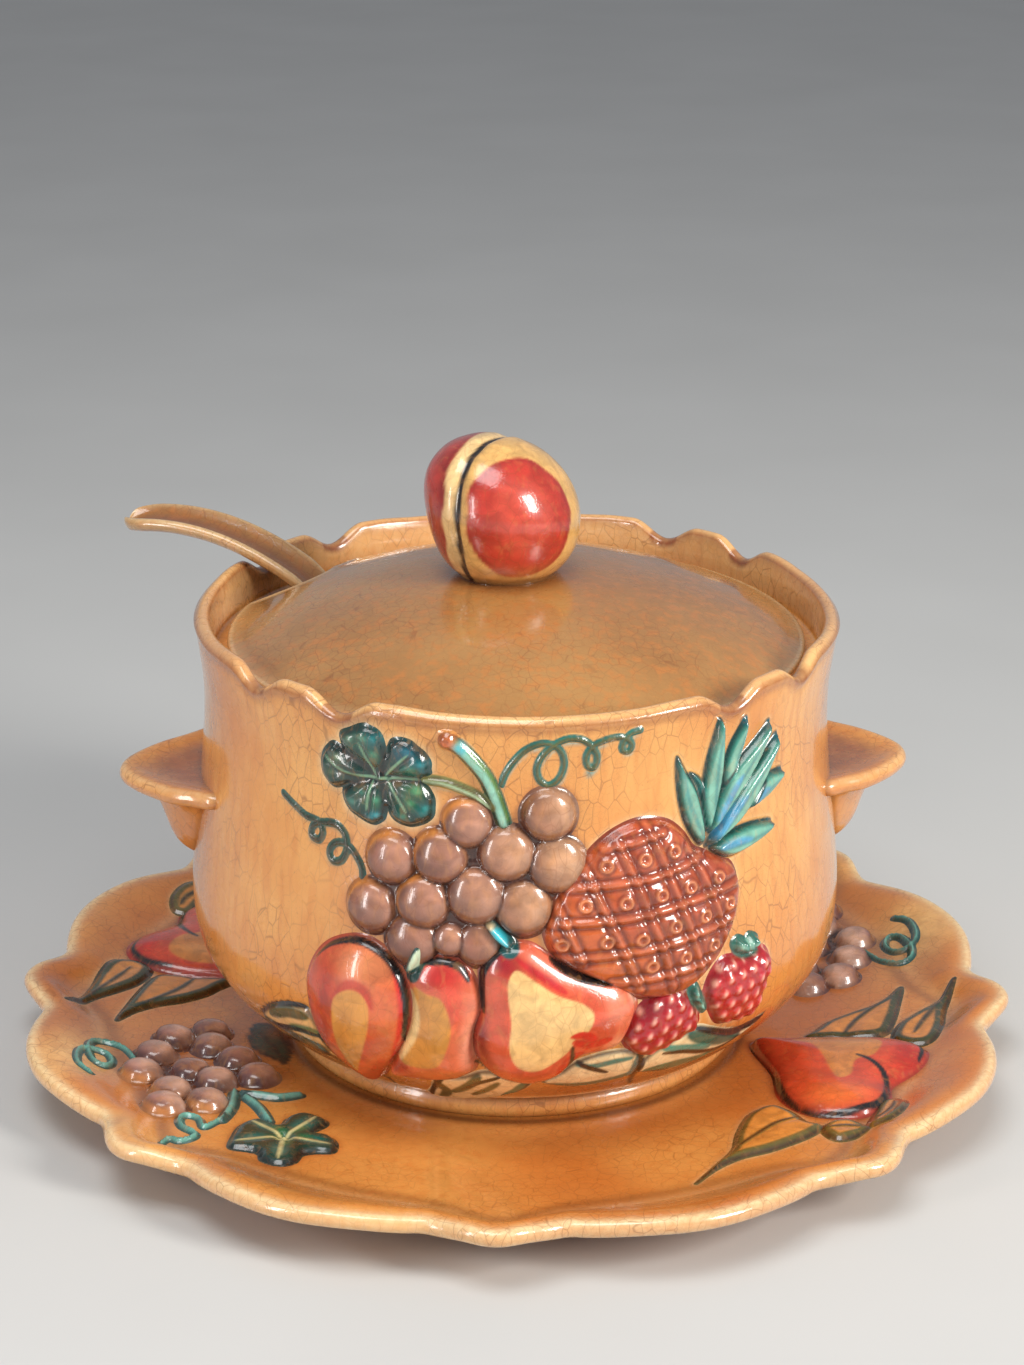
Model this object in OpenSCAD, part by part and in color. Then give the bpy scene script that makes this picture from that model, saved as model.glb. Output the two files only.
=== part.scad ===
// Covered tureen with fruit reliefs, its ladle and its scalloped underplate.
// Millimetres, +Z up, origin on the table at the middle of the underplate.
// The tureen's handles lie along X and its decorated front faces -Y.

/* [Underplate] */
// Radius to the tips of the eight short lobes
plate_r = 191; // [188:0.5:194]
// Height of the raised edge
plate_h = 25; // [23:0.5:27]
// Thickness of the clay
plate_t = 6; // [5:0.5:7]
// Height of the well's floor, where the tureen stands
floor_z = 11; // [10:0.5:12]
// Outer radius of the foot ring
plate_foot_r = 114; // [108:1:120]
// How far the underplate is turned under the tureen
plate_turn = -6; // [-10:1:10]

/* [Tureen] */
// Outer radius of the rim
rim_r = 120; // [118:0.5:122]
// Height from the foot to the top of the rim
tureen_h = 170; // [168:0.5:172]
// Thickness of the wall
wall_t = 6; // [5:0.5:7]
// Depth of the rim's eight notches
notch_depth = 6.5; // [5:0.5:8]
// Depth of the lid's ledge below the rim
ledge_drop = 18; // [17:0.5:19]
// Inner radius of the lid's ledge
ledge_r = 103; // [102:0.5:104]

/* [Handles] */
// Radius of each handle's round shelf
lug_r = 30; // [28:0.5:32]
// Reach of each handle from the tureen's axis
lug_reach = 149.5; // [147:0.5:152]
// Height of the shelf's top above the table
lug_z = 121; // [118:0.5:124]

/* [Lid] */
// Outer radius of the lid
lid_r = 108; // [107:0.5:109]
// Height of the dome above its edge
lid_rise = 26; // [24:0.5:28]
// Thickness of the lid
lid_t = 6; // [5:0.5:6.5]
// Height of the lid's edge
lid_edge = 5; // [4.5:0.5:6]
// Radius of the two round corners of the notch that the ladle passes through
ladle_notch_r = 20; // [19.5:0.25:20.5]
// Radius of the fruit-shaped knob
knob_r = 27; // [25:0.5:28]

/* [Ladle] */
// Outer radius of the ladle's cup
cup_r = 32; // [30:0.5:34]
// Thickness of the cup
cup_t = 4; // [3.5:0.5:5]
// Width of the channelled handle
shaft_w = 25; // [23:0.5:26]
// Thickness of the channelled handle
shaft_t = 7; // [6:0.5:7]

/* [Reliefs] */
// Height of the leaves and stems above the wall
leaf_h = 2.5; // [2:0.25:3]
// Height of the fruits above the wall
fruit_h = 7; // [6:0.5:8]
// Radius of the larger grapes
grape_r = 8.3; // [7.5:0.1:8.3]

/* [Hidden] */
$fn = 48;

honey = [0.85, 0.58, 0.30];
teal = [0.14, 0.42, 0.38];
leaf_green = [0.08, 0.28, 0.25];
grape_brown = [0.55, 0.38, 0.32];
fruit_red = [0.80, 0.30, 0.17];
amber = [0.63, 0.29, 0.18];
crimson = [0.72, 0.14, 0.17];

rim_z = floor_z + tureen_h;
ledge_z = rim_z - ledge_drop;
wrap_r = 122;          // radius at which distances along the wall are measured
ridge_n = 8;           // notches in the rim, and short lobes on the underplate

// Outer wall of the bowl: radius less the rim's radius, height above the foot
bowl_profile = [
    [-34, 0], [-32.2, 3], [-32.6, 6], [-34, 8.5], [-30, 10], [-24, 13.5], [-17, 19.5],
    [-9.5, 26.5], [-3.2, 34.5], [1.6, 44.5], [3.3, 56], [3.1, 69], [1, 89], [-1.3, 109],
    [-3, 129], [-3, 144], [-1.6, 157], [0, 169]];
outer_wall = [for (p = bowl_profile) [rim_r + p[0], floor_z + p[1]]];
wall_radius = [for (p = outer_wall) [p[1], p[0]]];
bend = 5;              // first profile point of the bowl's own curve, above the foot

function unit(v) = v / norm(v);
function turn_left(v) = [-v[1], v[0]];
function tangent(p, i) = unit(p[min(i + 1, len(p) - 1)] - p[max(i - 1, 0)]);
function moved_in(p, d) = [for (i = [0:len(p) - 1]) p[i] + d * turn_left(tangent(p, i))];
function part_of(p, a, b) = [for (i = [a:b]) p[i]];
function wall_at(z) = lookup(z, wall_radius);

// A smooth closed or open curve through hand-set points
function curve_point(a, b, c, d, t) =
    0.5 * (2 * b + (c - a) * t + (2 * a - 5 * b + 4 * c - d) * t * t
           + (3 * b - a - 3 * c + d) * t * t * t);
function closed_curve(p, n = 4) = [for (i = [0:len(p) - 1], k = [0:n - 1])
    let (m = len(p)) curve_point(p[(i + m - 1) % m], p[i], p[(i + 1) % m], p[(i + 2) % m], k / n)];
function open_curve(p, n = 4) = [for (i = [0:len(p) - 2], k = [0:n - 1])
    let (m = len(p) - 1) curve_point(p[max(i - 1, 0)], p[i], p[i + 1], p[min(i + 2, m)], k / n)];
function band(p, w) = concat(
    [for (i = [0:len(p) - 1]) p[i] + turn_left(tangent(p, i)) * w / 2],
    [for (i = [len(p) - 1:-1:0]) p[i] - turn_left(tangent(p, i)) * w / 2]);

// Points along the wall, [distance from the front's middle, height], seen from the front
function seen(p) = [for (q = p) [wrap_r * sin(q[0] / wrap_r * 180 / PI), q[1]]];
function side_of(s) = s / wrap_r * 180 / PI;

module on_both_sides() {
    children();
    rotate(180) children();
}

// Everything inside the bowl's outer surface, grown outwards by d
module wall_solid(d = 0) {
    rotate_extrude($fn = 96)
        polygon(concat([[0, floor_z - d]], moved_in(outer_wall, -d),
                       [[rim_r + d, rim_z + d], [0, rim_z + d]]));
}

// A flat drawing, seen from the front, pushed back onto the wall
module pushed_onto_wall() {
    rotate([90, 0, 0]) linear_extrude(rim_r + 30) children();
}

module low_relief(h) {
    difference() {
        intersection() {
            pushed_onto_wall() children();
            wall_solid(h);
        }
        wall_solid();
    }
}

// A drawing cut from a ball of radius r that stands h proud of the wall at s along and z up
module domed_relief(s, z, r, h) {
    difference() {
        intersection() {
            pushed_onto_wall() children();
            rotate(side_of(s)) translate([0, r - h - wall_at(z), z]) sphere(r, $fn = 96);
        }
        wall_solid();
    }
}

// ---- Underplate ----

plate_profile = [
    [0, floor_z], [96, floor_z], [130, floor_z + 1.5], [160, floor_z + 5.5],
    [180, plate_h - 3.5], [196, plate_h], [196, plate_h - plate_t], [182, plate_h - 4 - plate_t],
    [160, floor_z + 5 - plate_t], [130, floor_z + 0.5 - plate_t],
    [plate_foot_r, floor_z - plate_t], [plate_foot_r, 0], [plate_foot_r - 8, 0],
    [plate_foot_r - 8, floor_z - plate_t], [0, floor_z - plate_t]];

// One scallop: a round bulge that reaches r from the centre and spans half_w each way
module scallop(reach, half_w, root_r) {
    half_chord = root_r * sin(half_w);
    rise = reach - root_r * cos(half_w);
    bulge_r = (half_chord * half_chord + rise * rise) / (2 * rise);
    translate([reach - bulge_r, 0]) circle(bulge_r, $fn = 96);
}

module plate_outline() {
    trough_r = plate_r - 8.5;
    short_half = 8.3;
    long_half = 180 / ridge_n - short_half;
    circle(plate_r - 12, $fn = 96);
    for (i = [0:ridge_n - 1]) rotate(i * 360 / ridge_n) {
        scallop(plate_r, short_half, trough_r);
        rotate(180 / ridge_n) scallop(plate_r + 1, long_half, trough_r);
    }
}

module underplate() {
    color(honey) rotate(plate_turn) intersection() {
        rotate_extrude($fn = 96) polygon(plate_profile);
        linear_extrude(plate_h + 1) plate_outline();
    }
}

// Everything below the underplate's top surface
module plate_solid(d = 0) {
    rotate_extrude($fn = 96)
        polygon([for (p = concat(part_of(plate_profile, 0, 5), [[196, 0], [0, 0]]))
                 p[1] == 0 ? p : p + [0, d]]);
}

module on_plate(h) {
    rotate(plate_turn) on_both_sides() difference() {
        intersection() {
            linear_extrude(60) children();
            plate_solid(h);
        }
        plate_solid();
    }
}

plate_grape_spots = [
    [-134, -48], [-103, -48], [-137, -64], [-119, -60], [-94, -61], [-109, -66],
    [-124, -77], [-110, -84], [-125, -90], [-129, -33], [-116, -26], [-114, -38]];
plate_grape_r = 8.4;

module plate_grapes() {
    color(grape_brown) rotate(plate_turn) on_both_sides() difference() {
        for (p = plate_grape_spots) translate([p[0], p[1], floor_z + 1]) sphere(plate_grape_r);
        plate_solid();
    }
}

module plate_grape_shadow() {
    for (p = plate_grape_spots) translate(p) circle(plate_grape_r + 0.5);
}

module five_lobes(r) {
    circle(r * 0.55);
    for (a = [0:72:288]) rotate(a) translate([r * 0.62, 0]) circle(r * 0.4);
}

plate_stem = [[-78, -73], [-88, -75.5], [-98, -74]];
plate_cane = [[-98, -72], [-100, -85], [-99, -98]];
plate_petiole = [[-97, -78], [-90, -88], [-86, -98]];
plate_curl_a = [[-143, -54], [-148, -44], [-156, -42], [-160, -52], [-160, -66], [-154, -76]];
plate_curl_b = [[-116, -99], [-110, -104], [-110, -112], [-118, -112], [-120, -118]];

module plate_vine() {
    color(leaf_green) on_plate(leaf_h) difference() {
        union() {
            translate([-78, -109]) rotate(20) five_lobes(20);
            polygon(band(open_curve(plate_stem), 4));
            polygon(band(open_curve(plate_cane), 4));
            polygon(band(open_curve(plate_petiole), 3));
            polygon(band(open_curve(plate_curl_a), 2.4));
            polygon(band(open_curve(plate_curl_b), 2.4));
        }
        plate_grape_shadow();
    }
}

plate_pear_edge = [
    [92, -24], [108, -22], [128, -22], [146, -26], [157, -36], [154, -50], [142, -64],
    [140, -76], [130, -87], [112, -84], [101, -70], [99, -50]];

module plate_pear() {
    color(fruit_red) rotate(plate_turn) on_both_sides() difference() {
        intersection() {
            linear_extrude(60) polygon(closed_curve(plate_pear_edge));
            translate([124, -52, floor_z + 10 - 60]) sphere(60, $fn = 96);
        }
        plate_solid();
    }
}

plate_leaf_low = [[116, -96], [104, -106], [82, -118], [68, -138], [78, -110], [88, -84], [98, -76],
                  [108, -88]];
plate_leaf_right = [[126, -92], [134, -88], [138, -74], [146, -80], [144, -92], [134, -98]];
plate_leaf_top = [[112, -16], [124, -2], [146, 6], [172, 22], [160, -4], [140, -16]];
plate_leaf_back = [[150, -20], [162, -4], [170, 10], [164, -14], [160, -28]];

module plate_leaves() {
    color(leaf_green) on_plate(leaf_h) difference() {
        for (leaf = [plate_leaf_low, plate_leaf_right, plate_leaf_top, plate_leaf_back])
            polygon(closed_curve(leaf));
        polygon(closed_curve(plate_pear_edge));
        rotate(180) plate_grape_shadow();
    }
}

// ---- Tureen ----

inner_wall = moved_in(part_of(outer_wall, bend, len(outer_wall) - 1), wall_t);
inner_top = len(inner_wall) - 1;
ledge_wall_r = wall_at(ledge_z) - wall_t;
ledge_t = 5;

// The bowl's section, from the foot up the outside and down the inside
module bowl_section() {
    hollow_foot_r = rim_r - 46;
    polygon(concat(
        [[0, floor_z + 2], [hollow_foot_r, floor_z + 2], [hollow_foot_r + 2, floor_z]],
        outer_wall,
        [[rim_r - 1, rim_z], [rim_r - wall_t + 2, rim_z]],
        [inner_wall[inner_top]],
        [[ledge_wall_r, ledge_z], [ledge_r, ledge_z], [ledge_r, ledge_z - ledge_t],
         [wall_at(ledge_z - 13) - wall_t, ledge_z - 13]],
        [for (i = [inner_top - 3:-1:1]) inner_wall[i]],
        [[84, floor_z + 8.5], [0, floor_z + 8]]));
}

module rim_notches() {
    cutter_r = 16;
    half_step = 9.7;
    for (corner = [45:90:315], side = [-1, 1]) rotate(corner + side * half_step)
        translate([rim_r - 15, 0, rim_z - notch_depth + cutter_r])
            rotate([0, 90, 0]) cylinder(r = cutter_r, h = 30);
}

module tureen_body() {
    color(honey) difference() {
        rotate_extrude($fn = 96) bowl_section();
        rim_notches();
    }
}

module handle_lug() {
    shelf_t = 7;
    corbel_h = 30;
    shelf_x = lug_reach - lug_r;
    difference() {
        union() {
            translate([shelf_x, 0, lug_z - shelf_t]) cylinder(r = lug_r, h = shelf_t);
            translate([shelf_x - 4, 0, lug_z - shelf_t - corbel_h])
                cylinder(r1 = 6, r2 = lug_r - 9, h = corbel_h);
        }
        wall_solid();
    }
}

module right_handle() {
    color(honey) handle_lug();
}

module left_handle() {
    color(honey) rotate(180) handle_lug();
}

// ---- Reliefs on the bowl, drawn as [distance along the wall, height] ----

leaf_edge = [
    [-83, 156], [-77, 164], [-72, 163], [-71, 170], [-63, 173], [-57, 171], [-55, 164],
    [-51, 170], [-45, 168], [-38, 161], [-42, 155], [-37, 147], [-40, 140], [-50, 138],
    [-56, 142], [-60, 136], [-70, 139], [-73, 147], [-80, 146]];
cane_line = [[-31, 170.5], [-25, 166], [-19, 159], [-15, 150], [-12.6, 141]];
petiole_line = [[-41, 155], [-32, 154.5], [-24, 151.5], [-18, 147]];
tendril_lines = [
    [[-14, 156], [-11, 163], [-5, 169], [1, 171], [5, 169], [8, 163], [6, 157]],
    [[4, 170], [11, 172], [17, 169.5], [20, 165], [19, 161]],
    [[20, 169], [26, 171], [31, 169], [32, 166]],
    [[-65, 115], [-66, 120], [-70, 125], [-72, 129]],
    [[-73, 128], [-79, 132], [-86, 131], [-92, 133], [-100, 136]]];
tendril_rings = [[3, 162, 5.5], [17.5, 163.5, 3.2], [30, 167.5, 2.6], [-76, 122, 4], [-84, 127, 3]];
// Each grape's place and its size as a share of the larger ones
grapes = [
    [-26, 142, 1], [3.5, 143, 1], [-11, 130, 1], [-36, 127, 1], [-54, 125, 1], [7, 125, 1],
    [-22, 114, 1], [-41, 110, 1], [-60, 106, 1], [-4.5, 110, 1], [-45, 96, 0.65],
    [-32, 97, 0.55], [-23, 96, 0.5]];
pine_edge = [
    [2, 103], [6, 116], [15, 127], [27, 137], [40, 139], [51, 135], [58, 126], [66, 122],
    [74, 118], [77, 111], [76, 99], [69, 87], [58, 78], [46, 74], [34, 77], [20, 84], [6, 92]];
crown_blades = [
    [[59, 126], [52, 140], [50, 160], [57, 152], [62, 140]],
    [[63, 132], [62, 150], [67, 171], [72, 160], [71, 140]],
    [[70, 144], [74, 158], [81, 169], [82, 158], [76, 144]],
    [[64, 128], [72, 142], [94, 163], [90, 150], [76, 134]],
    [[66, 125], [80, 140], [100, 157], [95, 146], [80, 130]],
    [[82, 134], [92, 142], [106, 143], [98, 136], [90, 133]],
    [[66, 122], [78, 128], [97, 126], [88, 120], [74, 118]]];
pear_edge = [
    [-19, 92], [-13, 97], [-4, 98], [4, 93], [14, 87], [24, 84], [31, 79], [34, 71], [31, 60],
    [25, 55], [14, 54], [9, 48], [2, 42.5], [-8, 42], [-18, 47], [-23, 55], [-23, 65], [-20, 74],
    [-21, 84]];
peach_edge = [
    [-85, 72], [-83, 84], [-76, 91], [-63, 95], [-53, 91], [-46, 82], [-44, 72], [-47, 58],
    [-54, 45], [-63, 34], [-70, 36], [-79, 44], [-84, 57]];
apple_edge = [
    [-44, 86], [-40, 91], [-32, 92], [-25, 88], [-21, 80], [-20, 71], [-23, 62], [-21, 52],
    [-27, 43], [-36, 40], [-48, 40], [-58, 42], [-50, 60], [-44, 76]];
berry_edges = [
    [[29, 61], [34, 70], [43, 76], [51, 75], [57, 68], [59, 60], [53, 55], [40, 50], [33, 52]],
    [[61, 73], [66, 81], [74, 81], [82, 80], [90, 79], [92, 72], [88, 62], [85, 55], [69, 55],
     [64, 62]]];
calyx_spots = [[57, 71.5, 2.6], [60, 67, 2.6], [75.5, 84.5, 2.6], [80.5, 85.5, 2.6], [85, 84, 2.6]];
foliage_edges = [
    [[-112, 48], [-100, 58], [-86, 61], [-80, 50], [-78, 42], [-90, 38], [-104, 42]],
    [[-40, 40], [-28, 41], [-17, 46], [-8, 42], [-3, 40], [-8, 31], [-22, 25], [-46, 21],
     [-42, 32]],
    [[3, 41], [14, 51], [28, 53], [38, 50], [37, 38], [24, 35], [10, 36]],
    [[40, 41], [42, 50], [58, 57], [74, 51], [95, 49], [80, 42], [66, 36], [52, 37]]];

module outline(p) {
    polygon(seen(closed_curve(p)));
}

module strip(p, w) {
    polygon(seen(band(open_curve(p), w)));
}

module ring_at(r) {
    translate(seen([r])[0]) difference() {
        circle(r[2] + 1, $fn = 24);
        circle(r[2] - 1, $fn = 24);
    }
}

module grape_shadow() {
    for (g = grapes) translate(seen([g])[0]) circle(grape_r * g[2] + 1);
}

module vine_leaf() {
    color(leaf_green) on_both_sides() low_relief(leaf_h) difference() {
        outline(leaf_edge);
        grape_shadow();
    }
}

module vine_stem() {
    color(teal) on_both_sides() low_relief(leaf_h) difference() {
        union() {
            strip(cane_line, 5);
            strip(petiole_line, 3);
        }
        outline(leaf_edge);
        grape_shadow();
    }
}

module tendrils() {
    color(teal) on_both_sides() low_relief(leaf_h / 2) difference() {
        union() {
            for (line = tendril_lines) strip(line, 2);
            for (ring = tendril_rings) ring_at(ring);
        }
        strip(cane_line, 5);
        grape_shadow();
    }
}

// Each grape's middle lies a little behind the wall's surface
module grape_bunch() {
    sink = 1.6;
    color(grape_brown) on_both_sides() for (g = grapes) difference() {
        rotate(side_of(g[0])) translate([0, sink * g[2] - wall_at(g[1]), g[1]])
            rotate([90, 0, 0]) sphere(grape_r * g[2], $fn = 24);
        wall_solid();
    }
}

module pineapple() {
    color(amber) on_both_sides() domed_relief(40, 107, 90, fruit_h + 2) difference() {
        outline(pine_edge);
        outline(pear_edge);
        grape_shadow();
        for (berry = berry_edges) outline(berry);
        for (spot = calyx_spots) translate(seen([spot])[0]) circle(spot[2], $fn = 24);
    }
}

module pineapple_crown() {
    color(teal) on_both_sides() low_relief(leaf_h + 1) difference() {
        for (blade = crown_blades) outline(blade);
        outline(pine_edge);
    }
}

module peach() {
    color(fruit_red) on_both_sides() domed_relief(-65, 66, 62, fruit_h) difference() {
        outline(peach_edge);
        grape_shadow();
    }
}

module apple() {
    color(fruit_red) on_both_sides() domed_relief(-36, 66, 62, fruit_h) difference() {
        outline(apple_edge);
        outline(peach_edge);
        outline(pear_edge);
        grape_shadow();
    }
}

module pear() {
    color(fruit_red) on_both_sides() domed_relief(2, 69, 70, fruit_h + 1) difference() {
        outline(pear_edge);
        grape_shadow();
    }
}

module strawberries() {
    color(crimson) on_both_sides() {
        domed_relief(45, 63, 40, fruit_h - 1) difference() {
            outline(berry_edges[0]);
            outline(pear_edge);
        }
        domed_relief(77, 69, 40, fruit_h - 1) outline(berry_edges[1]);
        low_relief(leaf_h) difference() {
            for (spot = calyx_spots) translate(seen([spot])[0]) circle(spot[2], $fn = 24);
            for (berry = berry_edges) outline(berry);
        }
    }
}

module foliage() {
    color(leaf_green) on_both_sides() low_relief(leaf_h / 2) difference() {
        for (leaf = foliage_edges) outline(leaf);
        outline(pear_edge);
        outline(peach_edge);
        outline(apple_edge);
        for (berry = berry_edges) outline(berry);
    }
}

// ---- Lid ----

dome_r = (lid_r * lid_r + lid_rise * lid_rise) / (2 * lid_rise);
lid_top_z = ledge_z + lid_edge + lid_rise;
dome_z = lid_top_z - dome_r;
// Centres of the notch's two round corners: [turn from +X, distance from the middle]
ladle_notch_corners = [[137, 106], [148, 104]];

module lid() {
    color(honey) difference() {
        intersection() {
            translate([0, 0, ledge_z]) cylinder(r = lid_r, h = lid_rise + lid_edge + 1, $fn = 96);
            translate([0, 0, dome_z]) sphere(dome_r, $fn = 96);
        }
        translate([0, 0, dome_z]) sphere(dome_r - lid_t, $fn = 96);
        for (corner = ladle_notch_corners)
            rotate(corner[0]) translate([corner[1], 0, ledge_z - 5])
                cylinder(r = ladle_notch_r, h = 40);
    }
}

// Two lobes of a small fruit, the left one a little higher
module lid_knob() {
    lobe_r = knob_r - 3;
    color(fruit_red) difference() {
        union() {
            translate([-2, 0, lid_top_z + knob_r - 4]) sphere(knob_r);
            translate([-9, 0, lid_top_z + knob_r]) sphere(lobe_r);
        }
        translate([0, 0, dome_z]) sphere(dome_r, $fn = 96);
    }
}

// ---- Ladle, drawn along its own length: x outwards over the rim, z up ----

ladle_turn = 160;
ladle_x = -80;
ladle_y = 53.6;
shaft_z = 179.1;       // height of the shaft where it passes the lid's edge
cup_x = -78;
cup_z = floor_z + 41.5;
cup_open_z = cup_z + 7;
shaft_start = -52;
shaft_end = 72;
shaft_rings = 30;

module along_ladle() {
    translate([ladle_x, ladle_y, 0]) rotate(ladle_turn) children();
}

// Height of the shaft's top edge; it drops steeply inside the tureen
function shaft_top(u) = shaft_z + 0.622 * u - (u < 0 ? 0.0358 : 0.0058) * u * u;
function shaft_slope(u) = 0.622 - 2 * (u < 0 ? 0.0358 : 0.0058) * u;
function shaft_half(u) = shaft_w / 2 * (u < 0 ? 1 + 0.004 * u : 1)
    * (u > shaft_end - 12 ? sqrt(max(0.04, 1 - pow((u - shaft_end + 12) / 12.5, 2))) : 1);
// The channel's section, [across, down], as shares of its half width and its thickness
channel = [[-1, 0.1], [-0.78, 0], [-0.5, 0.4], [0, 0.55], [0.5, 0.4], [0.78, 0], [1, 0.1],
           [0.9, 0.6], [0.5, 0.92], [0, 1], [-0.5, 0.92], [-0.9, 0.6]];

module channel_shaft() {
    n = len(channel);
    points = [for (i = [0:shaft_rings])
        let (u = shaft_start + (shaft_end - shaft_start) * i / shaft_rings, a = atan(shaft_slope(u)))
        for (c = channel)
            [u + c[1] * shaft_t * sin(a), c[0] * shaft_half(u), shaft_top(u) - c[1] * shaft_t * cos(a)]];
    sides = [for (i = [0:shaft_rings - 1], k = [0:n - 1])
        [i * n + k, i * n + (k + 1) % n, (i + 1) * n + (k + 1) % n, (i + 1) * n + k]];
    caps = [[for (k = [n - 1:-1:0]) k], [for (k = [0:n - 1]) shaft_rings * n + k]];
    polyhedron(points, concat(sides, caps), convexity = 6);
}

module cup_solid(r) {
    translate([cup_x, 0, cup_z]) sphere(r, $fn = 64);
}

module ladle_bowl() {
    color(honey) along_ladle() difference() {
        cup_solid(cup_r);
        cup_solid(cup_r - cup_t);
        translate([cup_x, 0, cup_open_z]) cylinder(r = cup_r + 1, h = cup_r);
    }
}

module ladle_handle() {
    color(honey) along_ladle() difference() {
        channel_shaft();
        cup_solid(cup_r);
    }
}

underplate();
plate_grapes();
plate_vine();
plate_pear();
plate_leaves();
tureen_body();
left_handle();
right_handle();
vine_leaf();
vine_stem();
tendrils();
grape_bunch();
pineapple();
pineapple_crown();
peach();
apple();
pear();
strawberries();
foliage();
lid();
lid_knob();
ladle_bowl();
ladle_handle();
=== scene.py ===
"""Looks of a glazed soup tureen with fruit reliefs, its lid, ladle and scalloped underplate.

Shapes are worked out in millimetres and stored in metres. Drawings on the tureen's wall are
given as (s, z): the distance along the wall from the middle of the front, to the right, and
the height above the table. Drawings on the underplate are given as (x, y) in its own frame.
"""

import math

import bpy
import numpy as np
from mathutils import Matrix, Vector


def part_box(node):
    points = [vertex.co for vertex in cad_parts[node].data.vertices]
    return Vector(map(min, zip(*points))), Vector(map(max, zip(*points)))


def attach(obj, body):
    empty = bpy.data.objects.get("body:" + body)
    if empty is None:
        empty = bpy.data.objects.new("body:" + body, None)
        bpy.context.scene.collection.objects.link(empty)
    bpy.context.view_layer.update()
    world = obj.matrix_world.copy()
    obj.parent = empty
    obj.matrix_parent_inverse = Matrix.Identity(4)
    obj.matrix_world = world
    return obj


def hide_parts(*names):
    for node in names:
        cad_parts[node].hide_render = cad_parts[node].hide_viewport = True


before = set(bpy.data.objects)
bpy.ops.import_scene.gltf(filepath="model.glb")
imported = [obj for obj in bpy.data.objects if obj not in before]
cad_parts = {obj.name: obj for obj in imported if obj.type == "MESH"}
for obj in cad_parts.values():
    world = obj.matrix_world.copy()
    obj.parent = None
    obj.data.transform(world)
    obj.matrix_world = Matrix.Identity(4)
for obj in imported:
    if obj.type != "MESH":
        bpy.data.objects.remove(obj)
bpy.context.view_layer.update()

MM = 0.001


def top_of(node):
    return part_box(node)[1].z / MM


def bottom_of(node):
    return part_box(node)[0].z / MM


# ---- Sizes that the frame gives ----

FLOOR_Z = bottom_of("tureen_body")      # the tureen's foot, on the underplate
RIM_Z = top_of("tureen_body")           # the highest part of the tureen's rim
LEDGE_Z = bottom_of("lid")              # the ledge that the lid lies on
PLATE_Z = top_of("underplate")          # the underplate's raised edge
LID_TOP_Z = LEDGE_Z + 31                # the middle of the lid's dome
KNOB_TOP_Z = top_of("lid_knob") - 0.2
LUG_Z = top_of("right_handle")          # the top of the handles' shelves

# ---- Sizes of the forms ----

RIM_R = 120                             # the tureen's rim
WALL_T = 6                              # the tureen's wall
FOOT_R = 89.5                           # just outside the tureen's foot, where a painted shadow of the foot lies on the underplate
LID_R = 108                             # the lid's edge
WRAP_R = 122                            # radius at which distances along the wall are measured
PLATE_TURN = math.radians(-6)           # the underplate's turn under the tureen
PLATE_RIM_R = 152.5                     # from here out, the underplate's rows follow its outline
PLATE_UNDER_R = 116                     # where its sloping underside meets its foot ring
LOBE_STEP = 45                          # degrees from one of its lobes to the next
FILLET = 0.9                            # how far a relief's soft foot spreads over the wall
SUNK = 1.6                              # how far a relief's back lies inside the clay
WALL_STEP, PLATE_STEP = 0.55, 0.7       # spacing of the points of a relief
CUT_AT, DEEPEST = -0.35, -0.9           # the height a relief ends at, and the lowest it reaches
FAR_BELOW = -3.0                        # a relief's height where there is none
NOWHERE = 1e4                           # a place that no drawing reaches

# The bowl's outer wall: radius less the rim's radius, height above its foot
BOWL_PROFILE = [
    (-34, 0), (-32.2, 3), (-32.6, 6), (-34, 8.5), (-30, 10), (-24, 13.5), (-17, 19.5),
    (-9.5, 26.5), (-3.2, 34.5), (1.6, 44.5), (3.3, 56), (3.1, 69), (1, 89), (-1.3, 109),
    (-3, 129), (-3, 144), (-1.6, 157), (0, 169)]


# ---- Curves and distances ----

def curve(points, per_span=8, closed=False):
    """A smooth line through given points."""
    p = np.array(points, float)
    if closed:
        a, b, c, d = np.roll(p, 1, 0), p, np.roll(p, -1, 0), np.roll(p, -2, 0)
    else:
        ends = np.vstack([p[:1], p, p[-1:]])
        a, b, c, d = ends[:-3], ends[1:-2], ends[2:-1], ends[3:]
    t = np.linspace(0, 1, per_span, endpoint=False)[None, :, None]
    a, b, c, d = (v[:, None, :] for v in (a, b, c, d))
    line = 0.5 * (2 * b + (c - a) * t + (2 * a - 5 * b + 4 * c - d) * t ** 2
                  + (3 * b - a - 3 * c + d) * t ** 3)
    line = line.reshape(-1, p.shape[1])
    return line if closed else np.vstack([line, p[-1:]])


def ease(x):
    """A smooth step from 0 to 1 as x goes from 0 to 1."""
    x = np.clip(x, 0, 1)
    return x * x * (3 - 2 * x)


def bump(x):
    """A smooth hill, 1 at x = 0 and near 0 beyond 2."""
    return np.exp(-np.square(x))


def line_distance(xy, line, closed=False):
    """Each point's distance from a line, and the share of the line passed at the nearest place."""
    starts = line if closed else line[:-1]
    ends = np.roll(line, -1, 0) if closed else line[1:]
    best = np.full(len(xy), 1e9)
    along = np.zeros(len(xy))
    for i, (a, b) in enumerate(zip(starts, ends)):
        ab = b - a
        t = np.clip((xy - a) @ ab / max(ab @ ab, 1e-9), 0, 1)
        off = xy - a - t[:, None] * ab
        dist = np.hypot(off[:, 0], off[:, 1])
        closer = dist < best
        best[closer] = dist[closer]
        along[closer] = (i + t[closer]) / len(starts)
    return best, along


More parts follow.
